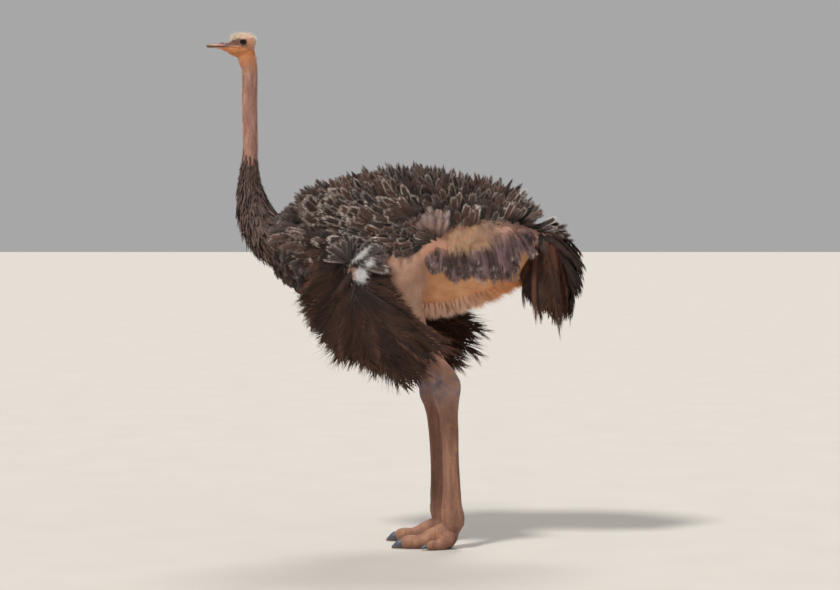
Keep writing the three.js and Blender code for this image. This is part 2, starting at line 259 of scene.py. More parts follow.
# ---------------------------------------------------------------- the bird's tables
HEAD = [
    [-613, 0, 1841.5, 16, 20], [-598, 0, 1840, 26.5, 25.5], [-580, 0, 1841, 37, 31],
    [-560, 0, 1846, 43, 35], [-543, 0, 1850, 41, 36], [-529, 0, 1850, 34, 32.5], [-518, 0, 1847, 24.5, 24],
    [-511, 0, 1844, 9, 9],
]
NECK = [
    [-536, 0, 1850, 20, 24], [-538, 0, 1836, 25, 27], [-539.5, 0, 1814, 32, 29], [-538, 0, 1795, 32.5, 29],
    [-532, 0, 1768, 28, 26.5], [-531, 0, 1735, 27.5, 26], [-532, 0, 1650, 27.5, 26],
    [-531.5, 0, 1583, 27, 25.5], [-529.5, 0, 1483, 26.5, 26], [-532, 0, 1419, 28, 27],
    [-533, 0, 1365, 35, 32], [-528, 0, 1300, 45, 41], [-514, 0, 1245, 54, 49], [-488, 0, 1190, 65, 60],
    [-450, 0, 1156, 82, 74], [-404, 0, 1137, 98, 88], [-360, 0, 1120, 100, 92],
]
TRUNK = [
    [-420, 0, 1140, 112, 100], [-350, 0, 1114, 157, 138], [-290, 0, 1105, 184, 160],
    [-200, 0, 1098, 221, 186], [-100, 0, 1097, 247, 202], [0, 0, 1101, 258, 206], [100, 0, 1102, 256, 204],
    [200, 0, 1101, 244, 200], [300, 0, 1104, 214, 188], [380, 0, 1106, 183, 166], [440, 0, 1107, 152, 140],
    [490, 0, 1115, 111, 104], [530, 0, 1131, 62, 64], [560, 0, 1140, 30, 34],
]
TOP_HEAVY = 0.2
LEG = [
    [-30, 84, 1196, 55, 49], [-28, 100, 1172, 91, 75], [-24, 118, 1128, 117, 93],
    [-12, 131, 1060, 129, 103], [0, 133, 1000, 125, 98], [14, 128, 940, 103, 83], [34, 123, 880, 75, 67],
    [60, 119, 820, 61, 52], [95, 115, 760, 49, 41], [136, 112, 700, 42.5, 34.5],
    [160, 111, 664, 41.5, 32.5], [184, 110, 626, 47.5, 34.5], [195, 109, 590, 51.5, 37.5],
    [197, 108, 552, 46.5, 35.5], [200, 108, 520, 39.5, 30.5], [204, 107, 478, 32.5, 25.5],
    [207, 106, 430, 30, 23.5], [210, 106, 340, 28, 22.5], [213, 105, 240, 30.5, 23.5],
    [214, 105, 170, 35.5, 26.5], [217, 105, 122, 40.5, 32.5], [221, 105, 96, 39.5, 33.5],
    [224, 105, 68, 28, 28], [226, 105, 56, 12, 14],
]
BIG_TOE = [
    [240, -4, 52, 22, 20], [214, -4, 52, 50, 30], [182, -4, 45, 49, 33], [150, -4, 36, 40, 33],
    [116, -4, 28.5, 32, 31], [84, -4, 23, 27, 31], [56, -4, 21, 26, 30], [34, -4, 17.5, 22, 24],
    [25, -4, 15, 12, 13],
]
SMALL_TOE = [
    [226, 18, 50, 16, 16], [208, 26, 38, 27, 20], [184, 34, 25, 26, 21], [158, 43, 18, 21, 20],
    [134, 51, 15, 18, 19], [118, 56, 13, 11, 12],
]
BIG_CLAW = [
    [38, -4, 19, 15, 16], [30, -4, 17.5, 18.5, 17], [18, -4, 13.5, 15.5, 15], [6, -4, 8.5, 9.5, 10],
    [-3, -4, 4.6, 5, 5.4], [-6, -4, 3, 2.6, 3], [-7, -4, 2.4, 0.8, 1],
]
SMALL_CLAW = [
    [128, 53, 16, 6, 7], [122, 55, 15, 8, 8], [112, 58.5, 12, 5.5, 5.5], [105, 60.5, 8.6, 3, 3],
    [101.5, 61.5, 7.4, 1.4, 1.4], [100.6, 61.8, 7, 0.4, 0.4],
]
ARM = [
    [-262, 96, 1168, 32, 24], [-215, 174, 1128, 40, 26], [-178, 224, 1084, 38, 24],
    [-148, 254, 1046, 36, 24], [-138, 268, 985, 30, 18], [-128, 278, 925, 26, 14], [-112, 282, 868, 14, 9],
]
TAIL_STUMP = [
    [500, 0, 1120, 60, 58], [548, 0, 1142, 42, 50], [580, 0, 1134, 34, 44], [604, 0, 1108, 26, 36],
    [618, 0, 1076, 12, 20],
]
BILL = [
    [-691, 0, 1846.5, 2.2, 7], [-689, 0, 1846.8, 4.2, 11.5], [-684, 0, 1847, 5.5, 15],
    [-665, 0, 1847, 6.5, 18], [-650, 0, 1847, 8, 18.5], [-636, 0, 1846, 11, 19], [-622, 0, 1844, 15, 20],
    [-606, 0, 1842, 18.5, 21],
]
MOUTH_X = [-700.0, -650.0, -605.0, -587.0, -563.0]
MOUTH_Z = [1846.0, 1845.0, 1842.0, 1840.5, 1836.5]


def leg_rows(side):
    ahead = RIGHT_LEG_AHEAD if side == RIGHT else {"hock": 0.0, "ankle": 0.0}
    rows = []
    for x, y, z, a, b in LEG:
        if z > HOCK_Z:
            shift = ahead["hock"] * (1 - min(1.0, max(0.0, (z - HOCK_Z) / (HIP_Z - HOCK_Z))))
        else:
            shift = ahead["ankle"] + (ahead["hock"] - ahead["ankle"]) * z / HOCK_Z
        rows.append([x + shift, side * y, z, a, b])
    return rows


def foot_rows(table, side):
    ahead = RIGHT_LEG_AHEAD["toes"] if side == RIGHT else 0.0
    return [[x + ahead, side * (STANCE_Y + y), z, a, b] for x, y, z, a, b in table]


# ---------------------------------------------------------------- relief of the skin
def trunk_relief(u, v, at):
    """The skin lies under the coat: deep below the crest and the breast, shallow on the bare flanks."""
    c = np.cos(v)
    depth = 7 + 36 * np.clip(c, 0, 1) ** 1.4 * (1 - 0.6 * step(280, 500, at[..., 0]))
    depth = depth + 22 * np.clip(-c, 0, 1) ** 1.6
    depth = depth + 22 * step(0.34, 0.2, u) * (1 - np.abs(c))
    side = np.abs(np.sin(v))
    rump_roll = 9 * hill(at[..., 0], 430, 90) * hill(c, 0.36, 0.16) * side
    hollow = -7 * hill(at[..., 0], 300, 120) * hill(c, 0.08, 0.2) * side
    wrinkle = 0.7 * np.sin(u * 190 + 3 * np.sin(v * 3)) * step(0.55, 0.7, u) * step(0.5, -0.2, c)
    return rump_roll + hollow + wrinkle - depth


def neck_relief(u, v, at):
    z = at[..., 2]
    rings = 0.35 * np.sin(z * 0.75 + 1.2 * np.sin(v * 2 + z * 0.02)) * step(1400, 1470, z)
    windpipe = 1.6 * hill(np.cos(v), -1, 0.25) * step(1420, 1500, z)
    cords = 0.9 * np.cos(3 * v + z * 0.004) * step(1400, 1480, z) * step(1800, 1760, z)
    return rings + windpipe + cords


def leg_relief(side):
    def relief(u, v, at):
        z = at[..., 2]
        back, out = np.cos(v), np.sin(v) * side
        shin = step(150, 200, z) * step(500, 430, z)
        groove = -3.2 * shin * (hill(back, 0.25, 0.22) + 0.6 * hill(back, -0.55, 0.14))
        tendon = 2.0 * shin * hill(back, 1.0, 0.35)
        knob = 4.5 * hill(z, 548, 22) * hill(back, -1, 0.6) + 4 * hill(z, 606, 26) * hill(back, 0.7, 0.5)
        cheek = 4.0 * hill(z, 585, 20) * hill(out, 0.9, 0.35) - 3.0 * hill(z, 624, 12) * hill(out, 0.9, 0.5)
        folds = 0.9 * np.sin(z * 0.42 + 1.5 * np.sin(v * 2)) * hill(z, 560, 46)
        muscle = -5 * hill(z, 860, 70) * hill(back, 0.35, 0.3) + 4 * hill(z, 900, 90) * hill(back, -0.4, 0.4)
        edge = 5 * step(780, 900, z) * hill(back, 0.86, 0.12)
        scutes = 0.9 * np.abs(np.sin(z * math.pi / SHANK_PLATE)) ** 0.5
        scutes = scutes * hill(back, -1, 0.55) * step(520, 480, z)
        ankle = 3 * hill(z, 118, 22) * hill(back, 0.8, 0.5) - 2.5 * hill(z, 150, 14) * hill(back, -0.8, 0.4)
        return groove + tendon + knob + cheek + folds + muscle + edge + scutes + ankle

    return relief


def toe_relief(u, v, at):
    x = at[..., 0]
    top = np.clip(np.cos(v), 0, 1)
    plates = 1.3 * np.abs(np.sin(x * math.pi / TOE_PLATE)) ** 0.6 * top * step(0.03, 0.12, u)
    pads = 2.2 * np.sin(u * 17) * np.clip(-np.cos(v), 0, 1)
    return plates - 1.2 * top + pads - 1.0


def head_relief(u, v, at):
    x = at[..., 0]
    z = at[..., 2] + at[..., 3] * np.cos(v)
    side = np.abs(np.sin(v))
    brow = 2.6 * hill(x, -556, 17) * hill(z, 1877, 5.5) * side
    lore = -3.4 * hill(x, -584, 12) * hill(z, 1857, 8) * side
    jaw = 2.2 * hill(x, -560, 24) * hill(z, 1826, 8) * side
    cheek = -2.4 * hill(x, -545, 14) * hill(z, 1836, 5) * side
    ear = 1.6 * hill(x, -524, 8) * hill(z, 1850, 9) * side
    line = np.interp(x, MOUTH_X, MOUTH_Z)
    open_to = step(-558, -568, x)
    gape = -2.6 * hill(z, line, 1.7) * open_to * side + 1.4 * hill(z, line - 4, 3.0) * open_to * side
    crown = -1.3 * hill(np.sin(v), 0, 0.18) * step(0.4, 1, np.cos(v)) * hill(x, -560, 30)
    wrinkles = 0.35 * np.sin(z * 1.5 + x * 0.5) * side * hill(z, 1832, 16)
    return brow + lore + jaw + cheek + ear + gape + crown + wrinkles


head = Loft(HEAD, head_relief)
neck = Loft(NECK, neck_relief)
trunk = Loft(TRUNK, trunk_relief, TOP_HEAVY)
tail_stump = Loft(TAIL_STUMP)
legs = {side: Loft(leg_rows(side), leg_relief(side)) for side in SIDES}


def swung(points, side):
    """The right wing's turn about its shoulder."""
    if side == LEFT:
        return points
    c, s = math.cos(-RIGHT_WING["swing"]), math.sin(-RIGHT_WING["swing"])
    x, y, z = np.moveaxis(points - SHOULDER, -1, 0)
    return np.stack([x * c + z * s, y, z * c - x * s], axis=-1) + SHOULDER


def bowed(run, bend):
    """A shaft's aim, length and bend, for a tip that lies at run from its root."""
    size = np.linalg.norm(run, axis=1)
    aims = run / size[:, None] - bend
    length = size * np.linalg.norm(aims, axis=1)
    return aims, length, bend * (size / length)[:, None]


def ball(segments, rings):
    """A sphere of radius 1 whose poles lie along y."""
    verts = []
    for i in range(rings + 1):
        a = math.pi * i / rings
        for j in range(segments):
            b = math.tau * j / segments
            verts.append([math.sin(a) * math.cos(b), math.cos(a), math.sin(a) * math.sin(b)])
    return np.array(verts), rings_of_quads(rings, segments)


def round_solid(name, centre, radius, stretch=(1, 1, 1), segments=40, rings=24):
    verts, faces = ball(segments, rings)
    made = mesh_object(name, verts * radius * np.array(stretch) + centre, faces)
    cleaned(made.data, merge=POLE_MERGE)
    return made


def slit(side, half_long, half_high, tilt):
    """An almond-shaped prism through one side of the head, which opens the lids."""
    across = 24
    verts = []
    for out in (5.0, 60.0):
        for j in range(across):
            a = math.tau * j / across
            x = half_long * math.cos(a)
            z = half_high * math.sin(a) * (1 - 0.25 * abs(math.cos(a)) ** 3)
            spot = [x * math.cos(tilt) - z * math.sin(tilt), out, x * math.sin(tilt) + z * math.cos(tilt)]
            verts.append([EYE[0] + spot[0], side * spot[1], EYE[2] + spot[2]])
    ends = [tuple(range(across)), tuple(range(across, 2 * across))]
    return mesh_object("slit", verts, rings_of_quads(1, across) + ends)


# ---------------------------------------------------------------- the skin
def make_skin():
    parts = [(trunk, 116, 140), (neck, 230, 68), (tail_stump, 24, 40)]
    parts += [(legs[side], 280, 80) for side in SIDES]
    for side in SIDES:
        parts.append((Loft(foot_rows(BIG_TOE, side), toe_relief), 110, 48))
        parts.append((Loft(foot_rows(SMALL_TOE, side), toe_relief), 60, 32))
    built = [mesh_object("part", *loft.grid(rings, sides)) for loft, rings, sides in parts]
    for side in SIDES:
        verts, faces = Loft([[x, side * y, z, a, b] for x, y, z, a, b in ARM]).grid(60, 32)
        built.append(mesh_object("part", swung(verts, side), faces))
    skin = built[0]
    skin.name = "skin"
    for other in built[1:]:
        skin = combined(skin, other, "UNION")
    soften_creases(skin, 0.4, 5, 14)
    face = mesh_object("face", *head.grid(84, 110))
    for side in SIDES:
        face = combined(face, round_solid("lids", EYE * [1, side, 1], EYE_RADIUS + LID_THICKNESS), "UNION")
    soften_creases(face, 0.35, 3, 8)
    skin = combined(skin, face, "UNION")
    soften_head(skin)
    for side in SIDES:
        socket = round_solid("socket", EYE * [1, side, 1], EYE_RADIUS + SOCKET_GAP)
        skin = combined(skin, socket, "DIFFERENCE")
        skin = combined(skin, slit(side, 12.8, 9.6, -0.12), "DIFFERENCE")
        ear = round_solid("ear", np.array([-523.0, side * 34.0, 1850.0]), 1.0, (3.4, 6.0, 5.0), 20, 12)
        skin = combined(skin, ear, "DIFFERENCE")
    verts = spots(skin.data)
    verts[verts[:, 2] < 0, 2] = 0
    put_spots(skin.data, verts)
    skin.data.polygons.foreach_set("use_smooth", [True] * len(skin.data.polygons))
    return skin


def soften_head(skin):
    """Blends the throat and nape where the head meets the neck."""
    verts = spots(skin.data)
    x, _, z = verts.T
    near = hill(z, 1806, 15) * step(1832, 1818, z) + hill(z, 1840, 16) * step(-522, -512, x) * 0.9
    put_spots(skin.data, relaxed(verts, neighbours(skin.data), np.clip(near, 0, 1), 0.8, 26))


def mark_skin(skin):
    """Writes what the skin's finish reads: how horny and lilac each place is, where the belly's skin carries
    painted warm bounce light, where painted shade darkens the skin under the feathers, and the phase of the
    broad plates down the shanks and toes."""
    samples = [(neck, 200, 24, ON_NECK), (trunk, 90, 48, ON_TRUNK), (head, 60, 40, ON_HEAD)]
    samples.append((tail_stump, 16, 16, ON_TRUNK))
    samples += [(legs[side], 240, 24, ON_LEG) for side in SIDES]
    for side in SIDES:
        samples.append((Loft(foot_rows(BIG_TOE, side)), 40, 16, ON_TOE))
        samples.append((Loft(foot_rows(SMALL_TOE, side)), 30, 16, ON_TOE))
    rows = []
    for loft, rings, sides, kind in samples:
        u, v = np.meshgrid(np.linspace(0, 1, rings), np.arange(sides) * math.tau / sides, indexing="ij")
        place = loft.place(u, v).reshape(-1, 3)
        rows.append(np.hstack([place, np.full((len(place), 1), kind)]))
    known = np.vstack(rows)
    near = KDTree(len(known))
    for i, row in enumerate(known):
        near.insert(row[:3], i)
    near.balance()
    verts = spots(skin.data)
    kind = known[[near.find(v)[1] for v in verts], 3]
    normals = np.empty(len(verts) * 3)
    skin.data.vertex_normals.foreach_get("vector", normals)
    facing = normals.reshape(-1, 3)
    x, y, z = verts.T
    on_neck, on_trunk, on_leg, on_toe, on_head = (
        (kind == part) * 1.0 for part in (ON_NECK, ON_TRUNK, ON_LEG, ON_TOE, ON_HEAD))
    horny = np.maximum(on_leg * step(715, 640, z), on_toe)
    shin = step(-0.3, -0.75, facing[:, 0]) * step(540, 500, z)
    plates = horny * np.where(kind == ON_TOE, step(0.3, 0.75, facing[:, 2]), shin)
    # Painted light: the bare belly's own tan skin is pushed towards orange to paint warm light bounced up
    # from the ground.
    warm = on_trunk * step(60, 140, x) * step(1150, 1040, z)
    throat = (on_head + on_neck) * step(1735, 1812, z) * step(1850, 1832, z)
    # Painted shade: the skin under the feathers of the lower neck, the breast, the back and the arms is
    # painted dark.
    dusky = on_neck * step(1400, 1330, z) + on_trunk * step(60, -40, x)
    dusky = np.maximum(dusky, on_trunk * step(1190, 1240, z))
    dusky = np.maximum(dusky, 0.62 * step(228, 240, np.abs(y)))
    mask_top = np.interp(x, [-612, -600, -585, -570, -556], [1864, 1869, 1874, 1877, 1879])
    lore = on_head * step(mask_top + 3, mask_top - 3, z) * step(1844, 1850, z) * step(-556, -568, x)
    lore = np.maximum(lore, on_head * hill(x, -544, 13) * hill(z, 1847, 6) * 0.7)
    mouth = on_head * hill(z, np.interp(x, MOUTH_X, MOUTH_Z), 1.8) * step(-556, -566, x)
    from_eye = np.linalg.norm((verts - EYE * [1, 0, 1]) * [1, 0, 1], axis=1)
    lid = hill(from_eye, 12.0, 3.6) * on_head * (np.abs(y) > 26)
    phase = np.where(kind == ON_TOE, x * math.pi / TOE_PLATE, z * math.pi / SHANK_PLATE)
    bristled = 0.85 * step(1871, 1880, z) * step(-604, -596, x)
    # The pale brow: the cream bristled crown is the skin's own colour, and the pale patch on the ridge over
    # the eye is a painted highlight.
    brow = on_head * np.maximum(hill(z, 1877, 6) * hill(x, -552, 16), bristled)
    links = neighbours(skin.data)
    soft = {
        "horny": horny, "plates": plates, "warm": warm, "throat": throat, "dusky": dusky,
        "lilac": hill(z, 600, 60) * on_leg, "thigh": on_leg * step(690, 730, z), "neck": on_neck,
    }
    soft = {name: blurred(mask, links, 14) for name, mask in soft.items()}
    soft["dusky"] = np.clip(soft["dusky"], 0, 1)
    write(skin.data, **soft, lore=lore, mouth=mouth, lid=lid, face=on_head, phase=phase, brow=brow)


# ---------------------------------------------------------------- bill, eyes and claws
def bill_relief(u, v, at):
    x = at[..., 0]
    c, s = np.cos(v), np.abs(np.sin(v))
    top = np.clip(c, 0, 1)
    bump = 5.2 * hill(x, -634, 7) * hill(s, 0.45, 0.35) * top
    groove = -1.5 * hill(x, -622, 14) * hill(c, 0.55, 0.16) * step(-646, -636, x)
    nail = 0.9 * step(-668, -674, x) * top
    ridge = 1.1 * hill(s, 0, 0.28) * top * step(-684, -660, x)
    nostril = -3.6 * hill(x, -632, 4.2) * hill(c, 0.74, 0.07)
    keel = 0.8 * hill(s, 0, 0.3) * np.clip(-c, 0, 1)
    return bump + groove + nail + ridge + nostril + keel


def make_bill():
    verts, faces = Loft(BILL, bill_relief).grid(96, 72)
    line = np.interp(verts[:, 0], MOUTH_X, MOUTH_Z)
    halves = []
    for name, keep, way in (("upper_bill_horn", np.maximum, 1), ("lower_bill_horn", np.minimum, -1)):
        made = verts.copy()
        made[:, 2] = keep(made[:, 2], line + way * 0.35)
        if way < 0:
            made[:, 0] = np.maximum(made[:, 0], -689.0)
            made[:, 1] *= 0.955
        halves.append(mesh_object(name, made, faces))
        cleaned(halves[-1].data, merge=2e-5, collapse=1e-5)
    return halves


def make_eye(side):
    bulge = 1 + 0.06 * step(0.86, 1.0, ball(48, 36)[0][:, 1:2] * side)
    name = "eyeball_left" if side == LEFT else "eyeball_right"
    return round_solid(name, EYE * [1, side, 1], EYE_RADIUS, bulge, 48, 36)


def claw_relief(u, v, at):
    return 0.35 * np.sin(9 * v) * step(0.1, 0.3, u) + 0.5 * hill(np.cos(v), 1, 0.25)


def make_claw(name, table, side):
    verts, faces = Loft(foot_rows(table, side), claw_relief).grid(40, 40)
    verts[:, 2] = np.maximum(verts[:, 2], 0.0)
    return mesh_object(name, verts, faces)


# ---------------------------------------------------------------- feathers
class Strips:
    """Tapering strips of mesh: each vertex, and how far it is from the shaft and whether it is on it."""

    def __init__(self):
        self.xyz, self.edge, self.faces, self.shaft = [], [], [], []

    def put(self, place, edge=0.0, shaft=0.0):
        self.xyz.append(place)
        self.edge.append(edge)
        self.shaft.append(shaft)

    def strip(self, first, segments, pointed):
        """Faces a strip of paired vertices from the first one on. A pointed strip ends in a single one."""
        for k in range(segments):
            a = first + 2 * k
            tip = pointed and k == segments - 1
            self.faces.append((a, a + 1, a + 2) if tip else (a, a + 1, a + 3, a + 2))

    def settle(self):
        self.xyz, self.edge, self.shaft = np.array(self.xyz), np.array(self.edge), np.array(self.shaft)


class Vane(Strips):
    """One feather in its own plane: x runs 0 to 1 along the shaft, y across it in half-widths, z is how far a
    barb lifts, in half-widths. Barbs are tapering ribbons, and the shaft is a narrow one."""

    def __init__(
        self, barbs, segments, slender, seed, reach=0.24, fray=0.2, cup=0.3, widest=0.6, base=0.3, blunt=2.2,
        full=0.62, ripple=0.12,
    ):
        super().__init__()
        rng = np.random.default_rng(seed)
        for j in range(barbs):
            for way in (-1, 1):
                start = 0.03 + 0.93 * (j + rng.uniform(-0.3, 0.3)) / barbs
                end = min(start + reach * rng.uniform(0.8, 1.2) * (1 - 0.45 * start), 1.04)
                wide = self.outline(end, widest, base, blunt) * (1 - fray * rng.uniform(0, 1) ** 1.5)
                lift = rng.normal(0, ripple)
                self.barb(start, end, way * wide, full / barbs, segments, cup, lift, slender)
        half = 0.006 * 34 / max(barbs, 12)
        first = len(self.xyz)
        for k in range(4):
            x = k / 3.2
            for way in (-1, 1):
                self.put([x, way * half * 3.0 * (1 - x * 0.8), 0.03], shaft=1.0)
        self.strip(first, 3, False)
        self.settle()

    def outline(self, x, widest, base, blunt):
        if x < widest:
            return base + (1 - base) * math.sin(x / widest * math.pi / 2)
        return math.sqrt(max(0.0, 1 - ((x - widest) / (1.045 - widest)) ** blunt))

    def barb(self, start, end, wide, half, segments, cup, lift, slender):
        """A ribbon from the shaft to the vane's edge, which bends towards the tip."""
        first = len(self.xyz)
        dx, dy = (end - start) * slender, wide
        size = math.hypot(dx, dy) + 1e-6
        for k in range(segments + 1):
            q = k / segments
            x = start + (end - start) * q**1.25
            z = -cup * abs(wide) * q**2 + lift * q
            taper = half * (1.0 - 0.75 * q) if k < segments else 0.0
            px, py = -dy / size * taper, dx / size * taper * slender
            for way in (-1, 1) if k < segments else (0,):
                self.put([x + px * way, wide * q**0.85 + py * way, z], edge=q)
        self.strip(first, segments, True)


class Hair(Strips):
    """A hair as a vane of one thin leaf, or two crossed leaves where it is seen close to."""

    def __init__(self, crossed=False, segments=2):
        super().__init__()
        for turn in (0.0, math.pi / 2) if crossed else (0.0,):
            first = len(self.xyz)
            for k in range(segments + 1):
                q = k / segments
                wide = (1 - q) ** 0.6
                for way in (-1, 1) if k < segments else (0,):
                    place = [q, way * wide * math.cos(turn) + 1e-3 * q, way * wide * math.sin(turn)]
                    self.put(place, edge=0.5)
            self.strip(first, segments, True)
        self.settle()
        if crossed:
            self.xyz[:, 1] += np.array([1e-2 * k for k in range(len(self.xyz))])


class Coat:
    """Feathers gathered into one piece."""

    def __init__(self, name, finish, slot):
        self.name, self.finish, self.slot = name, finish, slot
        self.verts, self.faces, self.uv, self.fields, self.count = [], [], [], [], 0

    def add(self, vane, roots, aims, faces, length, half, bend, homes, pale, tint, twist=0.0):
        """Lays one vane on each root. aims are its shaft's directions, faces the way its outer side looks,
        bend how its tip is carried off, in lengths, and homes the root's place on OFBake, 0 to 1."""
        n, m = len(roots), len(vane.xyz)
        if n == 0:
            return
        length, half, pale, tint, twist = (
            np.broadcast_to(np.asarray(value, float), (n,))[:, None, None]
            for value in (length, half, pale, tint, twist)
        )
        x, y, z = (vane.xyz[None, :, k : k + 1] for k in range(3))
        aims, bend = unit(aims)[:, None, :], bend[:, None, :]
        shaft = roots[:, None, :] + length * (x * aims + x * x * bend)
        along = unit(aims + 2 * x * bend)
        across = unit(np.cross(along, faces[:, None, :]))
        up = np.cross(across, along)
        turn = twist * x
        across, up = across * np.cos(turn) + up * np.sin(turn), up * np.cos(turn) - across * np.sin(turn)
        verts = shaft + across * (y * half) + up * (z * half)
        over = np.maximum(np.abs(verts[..., 1]) - WING_FLAT_FROM, 0) * np.sign(verts[..., 1])
        verts[..., 1] -= over * WING_FLATTENED
        self.verts.append(verts.reshape(-1, 3))
        patch = [np.clip(y, -1.2, 1.2) * PATCH_HALF + 0 * x, (x - 0.5) * PATCH_LONG + 0 * y]
        patch = np.stack(patch, -1)[:, :, 0]
        self.uv.append((homes[:, None, :] + patch).reshape(-1, 2))
        ones = np.ones((n, m))
        rows = (vane.edge, vane.xyz[:, 0], vane.shaft, pale[..., 0], tint[..., 0])
        self.fields.append(np.stack([ones * row for row in rows], -1).reshape(-1, 5))
        offset = self.count + np.arange(n)[:, None] * m
        self.faces.append((vane.faces, offset.ravel()))
        self.count += n * m

    def add_kinds(self, kind, vanes, rows, **draws):
        """Lays each kind of vane on the roots of that kind. The draws give fresh numbers, in their order."""
        for k, vane in enumerate(vanes):
            pick = kind == k
            fresh = {name: draw(pick.sum()) for name, draw in draws.items()}
            self.add(vane, *[row[pick] for row in rows], **fresh)

    def finished(self):
        by_corners = []
        for corners in (4, 3):
            parts = []
            for faces, offsets in self.faces:
                these = np.array([f for f in faces if len(f) == corners]).reshape(-1, corners)
                parts.append((these[None] + offsets[:, None, None]).reshape(-1, corners))
            by_corners.append(np.vstack(parts))
        quads, tris = by_corners
        verts = (np.vstack(self.verts) + TO_FRAME) * MM
        corners = np.concatenate([quads.ravel(), tris.ravel()])
        sizes = np.repeat([4, 3], [len(quads), len(tris)])
        mesh = bpy.data.meshes.new(self.name)
        mesh.vertices.add(len(verts))
        mesh.vertices.foreach_set("co", verts.astype(np.float32).ravel())
        mesh.loops.add(len(corners))
        mesh.loops.foreach_set("vertex_index", corners.astype(np.int32))
        mesh.polygons.add(len(sizes))
        mesh.polygons.foreach_set("loop_start", (np.cumsum(sizes) - sizes).astype(np.int32))
        mesh.update(calc_edges=True)
        mesh.polygons.foreach_set("use_smooth", np.ones(len(sizes), bool))
        layer = mesh.uv_layers.new(name="OFBake")
        layer.data.foreach_set("uv", np.vstack(self.uv)[corners].astype(np.float32).ravel())
        write(mesh, **dict(zip(("edge", "along", "shaft", "pale", "tint"), np.vstack(self.fields).T)))
        ride(shown(self.name, mesh), self.finish, self.slot)
        print(self.name, "triangles", 2 * len(quads) + len(tris), flush=True)


def spread(values):
    """Stretches numbers over 0.02 to 0.98."""
    low, high = values.min(), values.max()
    return 0.02 + 0.96 * (values - low) / max(high - low, 1e-9)


def homes_of(u, v):
    return np.stack([spread(v % math.tau), spread(u)], -1)


def homes_beside(side, across, along, share=0.45):
    """Each side's feathers on its own half of the unwrap."""
    return np.stack([spread(across) * share + 0.5 * (side > 0), spread(along)], -1)


def leaning(lean, aside):
    """The way a shaft points that leans forward of upright by so many radians."""
    return np.stack([-np.sin(lean), aside + 0 * lean, np.cos(lean)], -1)


def bell(rng, reach):
    """Draws numbers gathered about 0."""
    return lambda count: rng.normal(0, reach, count)


def even(rng, low, high):
    """Draws numbers spread evenly from low to high."""
    return lambda count: rng.uniform(low, high, count)


def scattered(loft, gap, rng, u_range=(0.0, 1.0)):
    """(u, v) of places about gap apart all over a loft."""
    us, vs = [], []
    rows = max(2, int(loft.reach * (u_range[1] - u_range[0]) / gap))
    for i in range(rows):
        u = u_range[0] + (u_range[1] - u_range[0]) * (i + 0.5) / rows
        at = between(loft.knots, loft.rows, np.array(u))
        round_it = math.tau * (0.5 * (at[3] ** 2 + at[4] ** 2)) ** 0.5
        count = max(3, int(round_it / gap))
        v = (np.arange(count) + rng.uniform(0, 1)) * math.tau / count
        us.append(np.full(count, u) + rng.uniform(-0.5, 0.5, count) * gap / loft.reach)
        vs.append(v + rng.uniform(-0.5, 0.5, count) * gap / round_it * math.tau)
    return np.clip(np.concatenate(us), *u_range), np.concatenate(vs)


# How the body's feathers lie, seen from the side: x, z, the shaft's lean forward of upright in degrees,
# how far it lifts off the skin, its length and half-width, and how pale its edge is.
LIE = np.array([
    [-400, 1235, 130, 0.28, 54, 9, 0.2], [-330, 1270, 66, 0.42, 66, 12, 0.5],
    [-240, 1300, 48, 0.45, 88, 13, 0.8], [-120, 1320, 42, 0.48, 96, 11, 0.7],
    [0, 1320, 35, 0.50, 102, 10, 0.7], [110, 1320, 22, 0.50, 102, 10, 0.7],
    [230, 1300, 7, 0.50, 100, 10, 0.7], [340, 1280, -8, 0.50, 100, 11, 0.8],
    [430, 1240, -26, 0.50, 98, 12, 1.0], [500, 1200, -44, 0.50, 94, 12, 1.0],
    [550, 1160, -66, 0.45, 90, 12, 0.9], [-330, 1150, 98, 0.28, 88, 16, 0.45],
    [-240, 1180, 54, 0.36, 120, 19, 1.0], [-150, 1180, 44, 0.36, 122, 19, 1.0],
    [-60, 1210, 70, 0.26, 104, 18, 1.0], [40, 1200, 80, 0.24, 96, 17, 1.0],
    [130, 1220, 40, 0.28, 88, 16, 0.8], [230, 1230, 14, 0.30, 78, 14, 0.7],
    [330, 1220, -6, 0.32, 70, 13, 0.7], [430, 1205, -36, 0.34, 64, 12, 0.9],
    [-380, 1050, -150, 0.22, 78, 14, 0.1], [-300, 960, -150, 0.22, 92, 16, 0.05],
    [-200, 900, -120, 0.22, 96, 16, 0.05], [-450, 1130, -165, 0.22, 50, 10, 0.1],
    [-90, 1110, 96, 0.22, 92, 17, 0.8], [40, 1130, 108, 0.20, 70, 15, 0.9],
])


def lie_at(x, z):
    """The table's row for any place, mixed from its nearest rows."""
    away = (x[:, None] - LIE[:, 0]) ** 2 + (z[:, None] - LIE[:, 1]) ** 2
    share = 1 / (away + 900) ** 2
    share /= share.sum(1, keepdims=True)
    lean = np.radians(LIE[:, 2])
    aim_x, aim_z = share @ -np.sin(lean), share @ np.cos(lean)
    return np.arctan2(-aim_x, aim_z), *(share @ column for column in LIE.T[3:])


